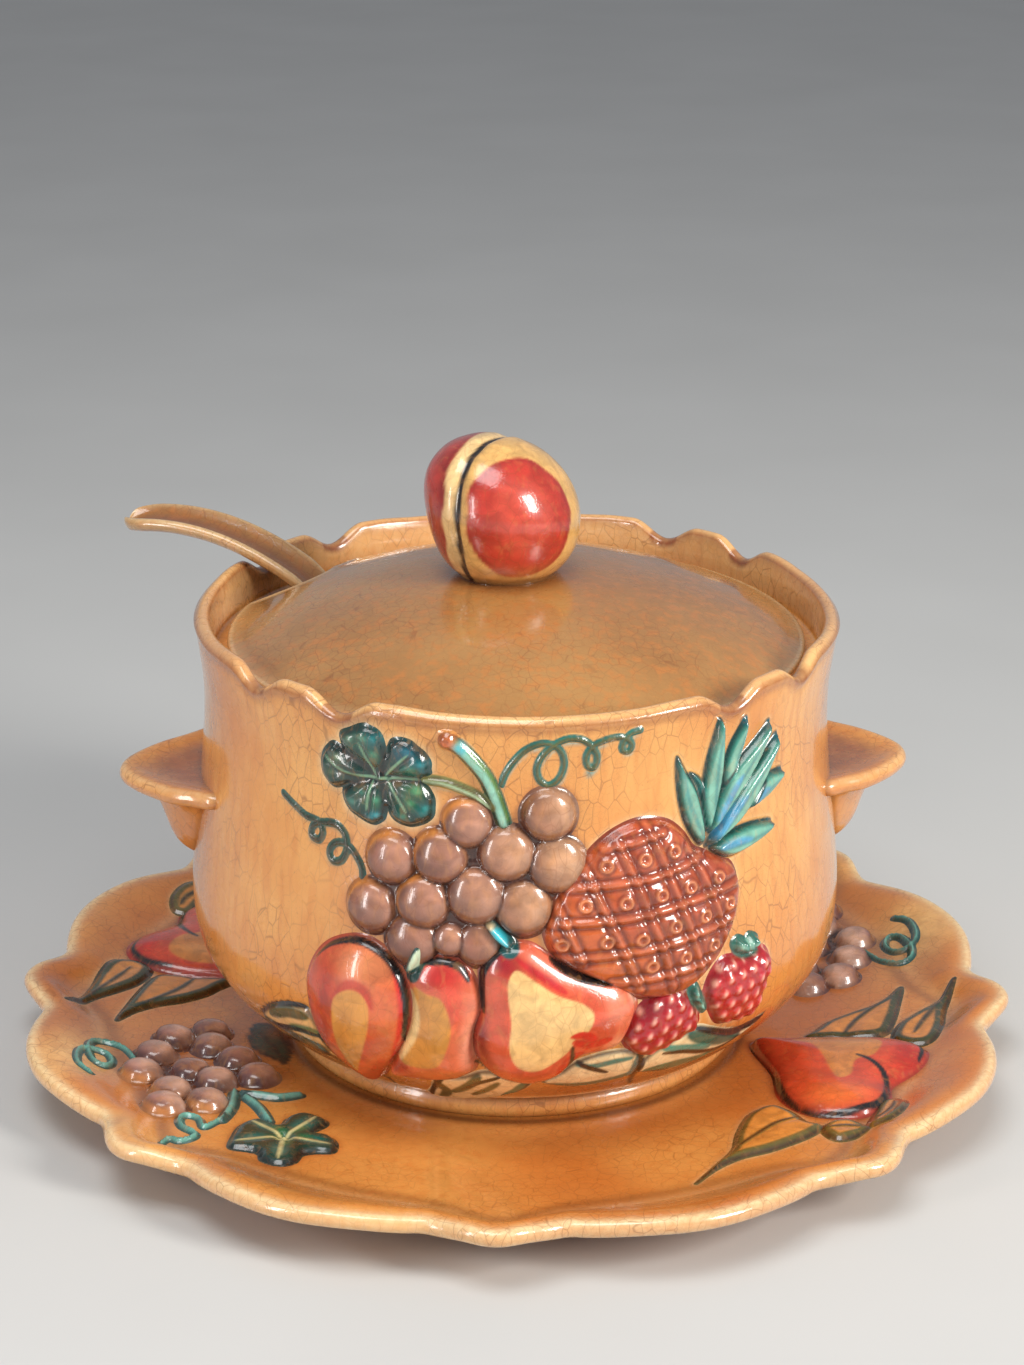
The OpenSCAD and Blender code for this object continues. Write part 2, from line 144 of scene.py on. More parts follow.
def inside_distance(xy, outline):
    """Distance from an outline, positive inside it and negative outside."""
    dist, _ = line_distance(xy, outline, closed=True)
    x, y = xy.T
    inside = np.zeros(len(xy), bool)
    for (x0, y0), (x1, y1) in zip(outline, np.roll(outline, -1, 0)):
        if y0 == y1:
            continue
        crosses = (y0 > y) != (y1 > y)
        inside ^= crosses & (x < x0 + (y - y0) * (x1 - x0) / (y1 - y0))
    return np.where(inside, dist, -dist)


def depth_in(xy, points):
    """Distance from a smooth closed line through given points, positive inside it."""
    return inside_distance(xy, curve(points, closed=True))


def distance_to(xy, points):
    """Distance from a smooth line through given points."""
    return line_distance(xy, curve(points))[0]


def far_from(xy, middle):
    """Distance from one place."""
    return np.hypot(*(xy - middle).T)


def moved(points, across, up):
    return [(x + across, y + up) for x, y in points]


def swell(d, height, width, steep=1.6):
    """Height of a rounded form, d inside its edge, which is width from where it levels out."""
    t = np.clip(d / width, 0, 1)
    form = np.minimum(height * np.sqrt(1 - (1 - t) ** 2), steep * d)
    foot = np.minimum(0.4 * (d + FILLET), 0.45)
    return np.maximum(form, foot)


def unevenness(points, size, seed):
    """A slow wander between -1 and 1, as in clay shaped by hand."""
    rng = np.random.default_rng(seed)
    total = np.zeros(len(points))
    for _ in range(5):
        direction = rng.normal(size=3)
        direction /= np.linalg.norm(direction) * size * rng.uniform(0.7, 1.5)
        total += np.sin(points @ direction * 2 * math.pi + rng.uniform(0, 2 * math.pi))
    return total / 5


# ---- Colour ----

def linear(colour):
    """A colour given as 0-255 on screen, as the linear numbers that shaders take."""
    c = np.array(colour, float) / 255
    return np.where(c <= 0.04045, c / 12.92, ((c + 0.055) / 1.055) ** 2.4)


HONEY = (226, 160, 84)
ORANGE = (205, 122, 52)
CREAM = (243, 212, 160)
UMBER = (70, 30, 18)
SPECK = (150, 84, 36)
CRACK = (122, 64, 26)
INK = (10, 14, 18)
LEAF_DARK = (14, 60, 52)
MINT = (140, 196, 172)
DEEP_TEAL = (20, 84, 84)
SKY = (70, 150, 200)
MAUVE_DARK = (84, 44, 38)
TAN = (160, 108, 80)
TAN_PALE = (210, 160, 122)
AMBER = (176, 74, 42)
AMBER_DARK = (104, 34, 22)
RED_ORANGE = (214, 84, 52)
DEEP_RED = (134, 20, 20)


class Canvas:
    """Paint on a surface's points: its colour, and how fully it covers the glaze below."""

    def __init__(self, xy):
        self.xy = xy
        self.rgb = np.tile(linear(HONEY), (len(xy), 1))
        self.cover = np.zeros(len(xy))
        self.pool = np.zeros(len(xy))

    def near(self, line, margin):
        """The points in the box round a line."""
        low, high = line.min(0) - margin, line.max(0) + margin
        return np.where(((self.xy > low) & (self.xy < high)).all(1))[0]

    def lay(self, colour, mask, where=slice(None)):
        mask = np.clip(mask, 0, 1)
        total = mask + self.cover[where] * (1 - mask)
        share = (mask / np.maximum(total, 1e-6))[:, None]
        self.rgb[where] = self.rgb[where] * (1 - share) + linear(colour) * share
        self.cover[where] = total

    def stroke(self, points, width, colour, soft=0.5, taper=0.6, strength=1.0):
        """A brush stroke that narrows towards its ends."""
        line = curve(points)
        where = self.near(line, width + soft)
        d, t = line_distance(self.xy[where], line)
        half = width / 2 * (1 - taper * np.abs(2 * t - 1) ** 3)
        self.lay(colour, strength * ease((half - d) / soft + 0.5), where)

    def patch(self, points, colour, soft=0.8, strength=1.0, grow=0.0):
        outline = curve(points, closed=True)
        where = self.near(outline, grow + soft)
        d = inside_distance(self.xy[where], outline)
        self.lay(colour, strength * ease((d + grow) / soft + 0.5), where)

    def halo(self, points, width, colour, strength=0.8):
        """A glow round the outside of an outline."""
        outline = curve(points, closed=True)
        where = self.near(outline, 2.5 * width)
        d = inside_distance(self.xy[where], outline)
        self.lay(colour, strength * bump(np.minimum(d, 0) / width), where)

    def dab(self, x, y, rx, ry, colour, strength=0.9, turn=0.0):
        """One soft oval touch of the brush, turned by an angle in degrees."""
        a = math.radians(turn)
        u, v = (self.xy - (x, y)).T
        across = (u * math.cos(a) + v * math.sin(a)) / rx
        up = (-u * math.sin(a) + v * math.cos(a)) / ry
        self.lay(colour, strength * np.exp(-(across ** 2 + up ** 2) ** 1.5))

    def dabs(self, touches):
        for touch in touches:
            self.dab(*touch)

    def pool_edge(self, heights, strength, level, fall):
        """Glaze gathered where a relief meets the wall, below a level."""
        self.pool = strength * ease((level - heights) / fall)

    def fade_out(self, heights, start=0.8, spread=0.8):
        """No paint on a relief's foot, where the wall's own glaze runs over it."""
        self.cover *= ease((heights + start) / spread)


# ---- Meshes ----

def new_piece(name, points_mm, faces, canvas, thin_glaze_and_highlight=0.0):
    """An object from points in millimetres and arrays of faces, with what the glaze needs."""
    loops = np.concatenate([f.ravel() for f in faces])
    sizes = np.concatenate([np.full(len(f), f.shape[1]) for f in faces])
    starts = np.concatenate([[0], np.cumsum(sizes)[:-1]])
    mesh = bpy.data.meshes.new(name)
    mesh.vertices.add(len(points_mm))
    mesh.vertices.foreach_set("co", (points_mm * MM).astype(np.float32).ravel())
    mesh.loops.add(len(loops))
    mesh.loops.foreach_set("vertex_index", loops.astype(np.int32))
    mesh.polygons.add(len(sizes))
    mesh.polygons.foreach_set("loop_start", starts.astype(np.int32))
    mesh.polygons.foreach_set("use_smooth", np.ones(len(sizes), bool))
    mesh.update(calc_edges=True)
    mesh.validate()
    for layer, kind, key, values in [
            ("paint", "FLOAT_COLOR", "color", np.column_stack([canvas.rgb, canvas.cover])),
            ("pool", "FLOAT", "value", canvas.pool),
            ("thin_glaze_and_highlight", "FLOAT", "value", np.broadcast_to(thin_glaze_and_highlight, len(points_mm)))]:
        data = mesh.attributes.new(layer, kind, "POINT").data
        data.foreach_set(key, values.astype(np.float32).ravel())
    piece = bpy.data.objects.new(name, mesh)
    bpy.context.scene.collection.objects.link(piece)
    return piece


def ring_faces(rows, columns):
    """Quads of a grid whose columns close on themselves, with a point at each end."""
    first = np.arange(rows * columns).reshape(rows, columns)
    nxt = np.roll(first, -1, 1)
    quads = np.stack([first[:-1], nxt[:-1], nxt[1:], first[1:]], -1).reshape(-1, 4)
    start, end = rows * columns, rows * columns + 1
    caps = np.concatenate([
        np.column_stack([nxt[0], first[0], np.full(columns, start)]),
        np.column_stack([first[-1], nxt[-1], np.full(columns, end)])])
    return [quads, caps]


def closed_grid(grid):
    """Points and faces of a closed form, from rings of points and a pole at each end."""
    points = np.vstack([grid.reshape(-1, 3), grid[[0, -1]].mean(1)])
    return points, ring_faces(*grid.shape[:2])


def flipped(faces):
    """The same faces, looking the other way."""
    return [f[:, ::-1] for f in faces]


def grid_of(rows, columns):
    """Radii and heights of a turned form's points, from rows that may give one number for all."""
    return [np.array([np.broadcast_to(row[i], columns) for row in rows]) for i in (0, 1)]


def per_point(values, columns, ends):
    """Each row's value for all its points, and then the values at the two poles."""
    return np.append(np.repeat(values, columns), ends)


def turned_body(radii, heights, angles):
    """Points and faces of a closed turned form: rows of radii and heights, from pole to pole."""
    angles = np.broadcast_to(angles, radii.shape)
    x, y = radii * np.cos(angles), radii * np.sin(angles)
    points = np.stack([x, y, heights], -1).reshape(-1, 3)
    poles = np.array([[0, 0, heights[0].mean()], [0, 0, heights[-1].mean()]])
    points = np.vstack([points, poles])
    return points, ring_faces(*radii.shape)


def fill_corners(cells):
    """Joins cells that would touch only at a corner."""
    while True:
        a, b = cells[:-1, :-1], cells[1:, 1:]
        c, d = cells[:-1, 1:], cells[1:, :-1]
        falling = a & b & ~c & ~d
        rising = c & d & ~a & ~b
        if not (falling.any() or rising.any()):
            return cells
        cells[:-1, 1:] |= falling
        cells[:-1, :-1] |= rising


def relief_parts(box, height, place, step):
    """Points and faces of a closed raised form, where its height is above the surface."""
    xs = np.arange(box[0], box[1] + step, step)
    ys = np.arange(box[2], box[3] + step, step)
    gx, gy = np.meshgrid(xs, ys)
    xy = np.column_stack([gx.ravel(), gy.ravel()])
    h = height(xy).reshape(gx.shape)
    highest = np.maximum.reduce([h[:-1, :-1], h[1:, :-1], h[:-1, 1:], h[1:, 1:]])
    cells = fill_corners(highest > CUT_AT)
    rows, cols = np.where(cells)
    index = np.arange(gx.size).reshape(gx.shape)
    quads = np.stack([index[rows, cols], index[rows, cols + 1],
                      index[rows + 1, cols + 1], index[rows + 1, cols]], -1)
    used, flat = np.unique(quads, return_inverse=True)
    quads = flat.reshape(quads.shape)
    heights = np.clip(h.ravel()[used], DEEPEST, None)
    front = place(xy[used], heights)
    back = place(xy[used], np.full(len(used), -SUNK))
    edges = np.concatenate([quads[:, [i, (i + 1) % 4]] for i in range(4)])
    key = edges[:, 0] * len(used) + edges[:, 1]
    other = edges[:, 1] * len(used) + edges[:, 0]
    rim = edges[~np.isin(key, other)]
    n = len(used)
    sides = np.column_stack([rim[:, 1], rim[:, 0], rim[:, 0] + n, rim[:, 1] + n])
    faces = np.concatenate([quads, quads[:, ::-1] + n, sides])
    return xy[used], heights, np.vstack([front, back]), faces


def relief(node, slot, box, height, paint, body, place, drift, step):
    """A moulded relief on the front, and the same half a turn round at the back."""
    xy, heights, points, faces = relief_parts(box, height, place, step)
    canvas = Canvas(xy)
    paint(canvas, heights)
    canvas.rgb = np.tile(canvas.rgb, (4, 1))
    canvas.cover = np.tile(canvas.cover, 4)
    canvas.pool = np.tile(canvas.pool, 4)
    both = drift(np.vstack([points, points * (-1, -1, 1)]))
    faces = np.concatenate([faces, faces + len(points)])
    finish_piece(new_piece(node + "_glazed", both, [faces], canvas), body, slot, node)


def finish_piece(piece, body, slot, *nodes):
    """What the piece rides on, which nodes it hides, and its glaze."""
    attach(piece, body)
    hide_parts(*nodes)
    piece.data.materials.append(glaze(slot))


# ---- Places on the tureen and the underplate ----

wall_line = curve([(RIM_R + r, FLOOR_Z + h) for r, h in BOWL_PROFILE], 10)
wall_line = np.vstack([wall_line, [RIM_R, RIM_Z + 1]])


def wall_radius(z):
    return np.interp(z, wall_line[:, 1], wall_line[:, 0])


def rim_height(turn):
    """Height of the rim by the turn in degrees from the front: eight notches beside four short lobes."""
    off = np.abs(turn % 90 - 45)
    dip = 6.5 * np.cos(np.pi / 2 * np.clip((off - 9.7) / 7.5, -1, 1)) ** 2
    lobe = 0.27 * ease((14 - off) / 14)
    sag = 1.2 * ease((off - 20) / 8) * (0.5 + 0.5 * np.cos(np.radians(turn * 4)))
    return RIM_Z - 0.3 - dip - sag + lobe


def rim_moulding(below_rim):
    """How far the wall stands out under its rim, by the distance below it: a bead over a groove."""
    return 0.5 * bump((1.8 - below_rim) / 1.1) - 0.45 * bump((4.6 - below_rim) / 0.9)


def on_wall(sz, h):
    """Points h proud of the tureen's wall."""
    s, z = sz.T
    slope = (wall_radius(z + 1.5) - wall_radius(z - 1.5)) / 3
    size = np.hypot(1, slope)
    a = s / WRAP_R
    r = wall_radius(z) + rim_moulding(rim_height(np.degrees(a)) - z) + h / size
    return np.column_stack([r * np.sin(a), -r * np.cos(a), z - h * slope / size])


def off_lobe(angle):
    """Degrees from the middle of the underplate's nearest lobe."""
    return np.abs((np.degrees(angle) + LOBE_STEP / 2) % LOBE_STEP - LOBE_STEP / 2)


def plate_edge(angle):
    """Radius of the underplate's outline: eight pointed lobes with long arcs between them."""
    trough, tip, arc = 182.5, 192.3, 191.6
    lobe_half = 8.3
    off = off_lobe(angle)
    lobe = trough + (tip - trough) * (0.5 + 0.5 * np.cos(np.pi * np.minimum(off, lobe_half) / lobe_half))
    share = np.clip((off - lobe_half) / (LOBE_STEP / 2 - lobe_half), 0, 1)
    return np.where(off < lobe_half, lobe, trough + (arc - trough) * np.sin(share * np.pi / 2))


def plate_well(angle):
    """Radius where the underplate's floor turns up into its rim."""
    return 158 + 11 * bump(off_lobe(angle) / 6)


def plate_top(r, angle):
    """Height of the underplate's upper surface."""
    base = np.interp(r, [0, 96, 130, 160, 200], [0, 0, 1.2, 4, 5.5]) + FLOOR_Z
    edge = plate_edge(angle)
    crest = PLATE_Z - 2.2 + 2.2 * ease((edge - 182) / 9)
    share = (r - plate_well(angle)) / (edge - 7 - plate_well(angle))
    return base + (crest - base) * ease(share)


def on_plate(xy, h):
    """Points h above the underplate, which is turned a little under the tureen."""
    r, angle = np.hypot(*xy.T), np.arctan2(xy[:, 1], xy[:, 0])
    z = plate_top(r, angle) + h
    turned = angle + PLATE_TURN
    return np.column_stack([r * np.cos(turned), r * np.sin(turned), z])


def wall_drift(points):
    """The bowl's slow departure from round, as a hand-finished pot has."""
    swing = 1 + 0.0022 * unevenness(points, 90, 5)
    return points * np.column_stack([swing, swing, np.ones(len(points))])


def plate_drift(points):
    """The slow rise and fall of the underplate's rim."""
    reach = ease((np.hypot(*points[:, :2].T) - PLATE_UNDER_R) / 26)
    return points + (0.3 * unevenness(points, 120, 21) * reach)[:, None] * (0, 0, 1)


# ---- Glaze ----

class Shader:
    """A material's nodes, made one at a time."""

    def __init__(self, name):
        self.material = bpy.data.materials.new(name)
        self.material.use_nodes = True
        self.tree = self.material.node_tree
        self.tree.nodes.clear()

    def add(self, kind, inputs=None, **settings):
        node = self.tree.nodes.new("ShaderNode" + kind)
        for key, value in settings.items():
            setattr(node, key, value)
        for key, value in (inputs or {}).items():
            if isinstance(value, bpy.types.NodeSocket):
                self.tree.links.new(value, node.inputs[key])
            else:
                node.inputs[key].default_value = value
        return node

    def math(self, operation, a, b=0.0, clamp=False):
        return self.add("Math", {0: a, 1: b}, operation=operation, use_clamp=clamp).outputs[0]

    def mix(self, share, a, b, blend="MIX"):
        node = self.add("Mix", {0: share, 6: a, 7: b}, data_type="RGBA", blend_type=blend)
        return node.outputs[2]

    def noise(self, where, scale, detail=2.0, distortion=0.0):
        inputs = {"Vector": where, "Scale": scale, "Detail": detail, "Distortion": distortion}
        return self.add("TexNoise", inputs).outputs["Fac"]

    def stretch(self, where, x, y, z):
        return self.add("Mapping", {"Vector": where, "Scale": (x, y, z)}).outputs[0]

    def between(self, value, low, high, to_low=0.0, to_high=1.0):
        """A value's place between low and high, smoothly, as a number between two others."""
        inputs = {"Value": value, "From Min": low, "From Max": high, "To Min": to_low, "To Max": to_high}
        return self.add("MapRange", inputs, interpolation_type="SMOOTHSTEP").outputs[0]

    def attribute(self, name):
        return self.add("Attribute", attribute_name=name)


def rgba(colour):
    return (*linear(colour), 1.0)


# Each slot's glaze where nothing is painted: its light and dark tones and how plain its cracks are
PLAIN_GLAZE = {
    "honey_glaze": ((236, 172, 94), (214, 134, 60), 1.0),
    "plate_glaze": ((222, 152, 76), (196, 114, 48), 0.9),
    "lid_glaze": ((182, 134, 76), (156, 106, 54), 1.0),
}
RELIEF_GLAZE = ((232, 176, 102), (212, 136, 66), 0.5)
glazes = {}


def glaze(slot):
    """A glossy crazed glaze over whatever is painted on a piece's points."""
    if slot in glazes:
        return glazes[slot]
    light, dark, crazing = PLAIN_GLAZE.get(slot, RELIEF_GLAZE)
    m = Shader(slot)
    where = m.add("TexCoord").outputs["Object"]

    # The honey ground: slow clouds, brush marks that run up and down, and specks
    clouds = m.between(m.noise(where, 14.0, 3.0), 0.3, 0.7)
    streaks = m.noise(m.stretch(where, 1.0, 1.0, 0.14), 260.0, 3.0)
    strands = m.between(streaks, 0.42, 0.72, 0.0, 0.45)
    ground = m.mix(clouds, rgba(light), rgba(dark))
    ground = m.mix(strands, ground, rgba(ORANGE))
    specks = m.between(m.noise(where, 900.0, 1.0), 0.68, 0.8, 0.0, 0.35)
    ground = m.mix(specks, ground, rgba(SPECK))

    # Where the glaze thins over an edge the pale clay shows, as does a painted highlight along some edges;
    # where the glaze gathers in pools, and where shade is painted, it darkens
    thin_glaze_and_highlight = m.attribute("thin_glaze_and_highlight").outputs["Fac"]
    ragged = m.between(m.noise(where, 420.0, 3.0), 0.3, 0.7, 0.75, 1.1)
    ground = m.mix(m.math("MULTIPLY", thin_glaze_and_highlight, ragged, clamp=True), ground, rgba(CREAM))

    # Paint, brushed on with an uneven load
    paint = m.attribute("paint")
    load = m.noise(m.stretch(where, 1.0, 1.0, 0.45), 330.0, 4.0, 0.6)
    cover = m.math("MULTIPLY", paint.outputs["Alpha"], m.between(load, 0.25, 0.6, 0.84, 1.1), clamp=True)
    shade = m.between(m.noise(where, 150.0, 4.0, 0.8), 0.25, 0.75, 0.76, 1.16)
    grey = m.add("CombineColor", {0: shade, 1: shade, 2: shade}).outputs[0]
    mottled = m.mix(1.0, paint.outputs["Color"], grey, "MULTIPLY")
    colour = m.mix(cover, ground, mottled)
    pool = m.attribute("pool").outputs["Fac"]
    colour = m.mix(pool, colour, rgba(UMBER))

    # Crazing: a coarse net of cracks with a finer one inside it, plainer in some places
    wander = m.add("TexNoise", {"Vector": where, "Scale": 45.0}).outputs["Color"]
    shift = m.add("VectorMath", {0: wander}, operation="SCALE")
    shift.inputs["Scale"].default_value = 0.006
    bent = m.add("VectorMath", {0: where, 1: shift.outputs[0]}, operation="ADD").outputs[0]
    coarse = m.add("TexVoronoi", {"Vector": m.stretch(bent, 1.0, 1.0, 0.5), "Scale": 215.0},
                   feature="DISTANCE_TO_EDGE").outputs["Distance"]
    fine = m.add("TexVoronoi", {"Vector": bent, "Scale": 470.0},
                 feature="DISTANCE_TO_EDGE").outputs["Distance"]
    coarse_cracks = m.between(coarse, 0.0, 0.045, 1.0, 0.0)
    fine_cracks = m.between(fine, 0.0, 0.06, 0.4, 0.0)
    patches = m.between(m.noise(where, 22.0, 2.0), 0.36, 0.6, 0.3, 1.0)
    cracks = m.math("MULTIPLY", m.math("MAXIMUM", coarse_cracks, fine_cracks), patches)
    colour = m.mix(m.math("MULTIPLY", cracks, 0.5 * crazing), colour, rgba(CRACK))

    # The surface: cracks a hair deep, and the slow waves of a dipped glaze
    waves = m.noise(where, 30.0, 1.0)
    relief_height = m.math("SUBTRACT", m.math("MULTIPLY", waves, 6.0), m.math("MULTIPLY", cracks, 0.12))
    relief_height = m.math("ADD", relief_height, m.math("MULTIPLY", load, 0.06))
    bumped = m.add("Bump", {"Strength": 0.35, "Distance": 0.0004, "Height": relief_height})

    roughness = m.between(m.noise(where, 120.0, 2.0), 0.3, 0.7, 0.22, 0.34)
    surface = m.add("BsdfPrincipled", {"Base Color": colour, "Roughness": roughness,
                                       "Normal": bumped.outputs[0], "Coat Weight": 0.9,
                                       "Coat Roughness": 0.045, "IOR": 1.5})
    m.tree.links.new(bumped.outputs[0], surface.inputs["Coat Normal"])
    out = m.add("OutputMaterial")
    m.tree.links.new(surface.outputs[0], out.inputs["Surface"])
    glazes[slot] = m.material
    return m.material


# ---- Drawings on the wall ----

LEAF_EDGE = [
    (-83.2, 154.3), (-82.2, 158.5), (-79.6, 161.9), (-77, 163.5), (-73.2, 162.4), (-73.9, 166.7),
    (-72.5, 169), (-70, 170.5), (-67.2, 171.9), (-64, 172.6), (-61.3, 172.3), (-59, 171.4),
    (-57.4, 169.3), (-55.6, 162.6), (-53.8, 167.7), (-51.9, 169.2), (-49.2, 169.5), (-46.4, 168.9),
    (-44, 167), (-41.3, 164.8), (-39.7, 162), (-39.8, 159.4), (-39.8, 157.4), (-42.4, 155),
    (-39.8, 150.9), (-38.6, 148.3), (-38.5, 145.2), (-38.9, 142.2), (-41.1, 139.9), (-44, 138.5),
    (-46.7, 137.8), (-49.2, 138), (-51.8, 138.7), (-54, 140.3), (-56, 143.6), (-57.2, 139.2),
    (-58.7, 137.6), (-60.8, 136.5), (-63, 136.6), (-65.4, 137.3), (-68, 138.4), (-70.5, 139.6),
    (-72.4, 141.6), (-73.6, 144.2), (-73.6, 146.5), (-70.6, 149.6), (-76.8, 147.2), (-79.3, 147.7),
    (-81.2, 149.2), (-82.6, 151.1)]
LEAF_MIDDLE = (-58, 154.4)
LEAF_VEINS = [
    [(-42, 155.4), (-49, 155), (-58, 154), (-66, 153.6), (-74, 155), (-81, 159.6)],
    [(-59.6, 154.6), (-62, 159.6), (-65.4, 166.4)],
    [(-56, 155.2), (-52, 159.8), (-47, 164.8)],
    [(-61, 152.4), (-62.4, 147.4), (-63.2, 141.4)],
    [(-55, 153.2), (-52, 149), (-48, 142.8)]]
LEAF_SINUSES = [(-73.2, 162.4), (-55.6, 162.6), (-42.4, 155), (-56, 143.6), (-70.6, 149.6)]
CANE = [(-33, 171), (-29, 169), (-24.5, 164.5), (-19.5, 158), (-16, 150), (-13, 141)]
PETIOLE = [(-42, 155.2), (-35, 155), (-29, 153.4), (-23, 150.8), (-18, 147)]
TENDRIL_RIGHT = [
    (-14, 155), (-12.6, 159), (-10, 163.5), (-6, 168), (-1, 170.6), (3.5, 170.4), (7, 167.6),
    (8.2, 162.6), (6.6, 157.4), (3, 154.8), (-.4, 157), (-1.4, 161.4), (0.4, 166), (4, 169.8),
    (9, 172.2), (14, 171.8), (18, 168.8), (20, 164.6), (19, 160.8), (16.8, 161.4), (16, 165),
    (18, 168.6), (22, 170.6), (26.5, 171.4), (30.4, 170.6), (32.6, 168), (31.6, 165.6),
    (29.2, 166.4), (29.4, 169.4), (32, 172.2), (35.5, 173)]
TENDRIL_LEFT = [
    (-65, 114), (-65.4, 119), (-68.4, 123.6), (-72.4, 126.6), (-77, 126), (-79.4, 122.4),
    (-77.6, 119.4), (-74, 120.4), (-72, 125), (-73, 130), (-77, 132.8), (-82, 132.4), (-87, 130.4),
    (-88, 126.6), (-84.6, 125.4), (-82.8, 128.6), (-85, 132), (-91, 132.8), (-97, 135.2),
    (-103, 138)]
# Each grape's place, its radius and its height
GRAPES = [
    (-26, 140.4, 9.4, 5.2), (3, 144, 10.2, 6.0), (-12, 130, 10.6, 6.4), (-35.6, 127.6, 10.4, 6.2),
    (-53.6, 125, 10, 6.2), (6, 125.8, 10.8, 5.2), (-22.6, 114.4, 10.9, 6.2), (-41.4, 110.8, 10.5, 6.2),
    (-60.6, 106.6, 10, 6.0), (-6, 110.4, 10.4, 4.8), (-45, 96.6, 10, 5.0), (-31.6, 98, 6.6, 4.6),
    (-21.6, 97, 8.2, 4.0)]
PINE_EDGE = [
    (1.5, 101), (4, 110), (8.5, 119), (15, 127), (23, 134.4), (32, 138.6), (40, 139.2), (48, 136.8),
    (54, 131.6), (58, 125.8), (63, 123), (70, 119.6), (75.6, 114.8), (77.4, 107), (75, 97),
    (69.4, 87.4), (61, 79), (53, 74.4), (44, 73), (34, 75), (24, 80), (14, 86), (5.5, 92.4)]
PINE_RIBS = [
    [(5, 113), (9, 103), (14, 91)],
    [(15, 125), (21, 110), (27, 96), (34, 79)],
    [(26.5, 134), (32.5, 119), (36.5, 107), (41, 95), (46, 78)],
    [(38, 138), (43, 125), (47.5, 112), (51, 101), (54, 92), (58, 80)],
    [(54, 128), (59.5, 115), (63.5, 104), (68, 91)]]
PINE_CROSSINGS = [
    [(22, 131.5), (32, 132.6), (44, 134.6)],
    [(9, 118), (22, 118.6), (36, 119.4), (48, 120.8), (60, 123.4)],
    [(3, 105.4), (20, 106), (36, 106.8), (54, 108.6), (76, 110.4)],
    [(6, 92.6), (24, 93.2), (40, 94.2), (56, 96), (74, 98)],
    [(24, 82.6), (40, 83), (54, 83.8), (67, 85.4)]]
PINE_RINGS = [
    (22.5, 125.5), (36, 126.5), (47.5, 127.4), (15, 112), (28.6, 112), (41.4, 113), (53, 113.4),
    (65.4, 114), (7, 98), (22, 98.4), (34, 98), (46, 101), (58, 102), (69.4, 103.6), (37.6, 87.4),
    (50, 88.4), (62, 90)]
# The crown's blades, from the back ones to the front ones, with the line down each one's middle
CROWN_BLADES = [
    ([(62, 140), (60.4, 147), (56.6, 153.4), (61.6, 150.4), (64, 144)], [(63, 142), (58, 152)]),
    ([(72, 142), (71.4, 151), (74.6, 161), (81, 169.4), (82.2, 163), (80.4, 155.6), (77, 148)],
     [(74, 144), (76.5, 155), (81, 168)]),
    ([(60.4, 126), (55, 134), (51.8, 145), (50.6, 160.6), (55.4, 154), (60, 146), (62.6, 137), (63.4, 129)],
     [(61.5, 128), (55, 143), (51.5, 158)]),
    ([(64, 130), (61.6, 141), (63, 153), (66.6, 169), (68, 172), (70.4, 169), (71.8, 158), (71, 147),
      (67.6, 136)],
     [(65.5, 133), (66.5, 150), (68, 169)]),
    ([(65, 129), (68.6, 141), (76, 151), (86, 158.4), (95, 164.4), (93, 156), (87, 147.6), (77, 138)],
     [(68, 134), (79, 148), (93, 162)]),
    ([(82, 133.4), (86, 139.6), (92, 143.6), (99, 144), (105.6, 142.6), (101, 138.4), (93, 134.8)],
     [(85, 135.5), (93, 139.4), (103, 142)]),
    ([(63.6, 125), (70, 133), (80, 143), (90, 150.6), (101, 158), (98, 149.4), (90, 139.6), (80, 131),
      (70, 126)], [(66, 127), (81, 140), (98, 155)]),
    ([(65, 124.4), (72, 127.4), (82, 128.4), (91, 127.6), (98, 125.4), (93, 121.8), (84, 119.4), (74, 118.4),
      (68, 120.6)], [(68, 123.5), (82, 123.8), (95, 125)])]
FIRST_BLUE_BLADE = 4                    # this blade and those in front of it have a blue streak
CROWN_TIPS = [(81, 168), (94.4, 163.4), (100, 156.8), (104.4, 142.2), (95.6, 125)]
PEAR_EDGE = [
    (-20.4, 90), (-16, 95.6), (-9, 98), (-3, 97.4), (4, 92.6), (12, 87.4), (22, 83.8), (28, 81.6),
    (32.6, 77), (33.8, 71), (31.4, 63), (28, 57.6), (22, 55.6), (15, 54.6), (11.6, 51), (8, 46.4),
    (2, 43), (-5, 42), (-13, 44.6), (-19.6, 50), (-22.6, 57), (-22.8, 65), (-20.4, 73), (-20.6, 82)]
PEAR_PATCH = [
    (-8, 90), (-2, 86), (5, 81), (13, 77.6), (17, 74), (16.4, 69.6), (13.4, 65.6), (11.4, 67),
    (10.2, 62), (6.6, 58), (-1, 54), (-7.6, 55.6), (-10.4, 62), (-9.8, 71), (-10.8, 80), (-10.8, 86)]
PEAR_STEM = ([(-17, 104), (-14.4, 101), (-11, 97.6)], 2.9, 5.2)
APPLE_STEM = ([(-42, 94.4), (-43, 91), (-44.6, 87)], 3.2, 7.0)
PEACH_EDGE = [
    (-86, 68), (-85.4, 77), (-81, 86), (-74, 91.8), (-64, 94.8), (-55, 92), (-48.4, 85), (-44.8, 75),
    (-45.8, 64), (-49.6, 54), (-56, 44), (-62, 36), (-66, 33.4), (-71, 36), (-78, 43.4), (-83, 54)]
PEACH_PATCH = [
    (-66, 76.6), (-61, 76.4), (-58, 72), (-58.4, 64), (-61, 56), (-65, 48), (-67.4, 44.8), (-70, 52),
    (-71.8, 62), (-71, 72)]
APPLE_EDGE = [
    (-46, 84), (-41, 90), (-33, 92.4), (-26.4, 90), (-22, 83), (-20.4, 75), (-22.6, 66), (-23.4, 57),
    (-22.6, 49), (-28, 43.4), (-36, 40.6), (-47, 39.6), (-57, 40.6), (-52, 50), (-46, 62), (-44, 74)]
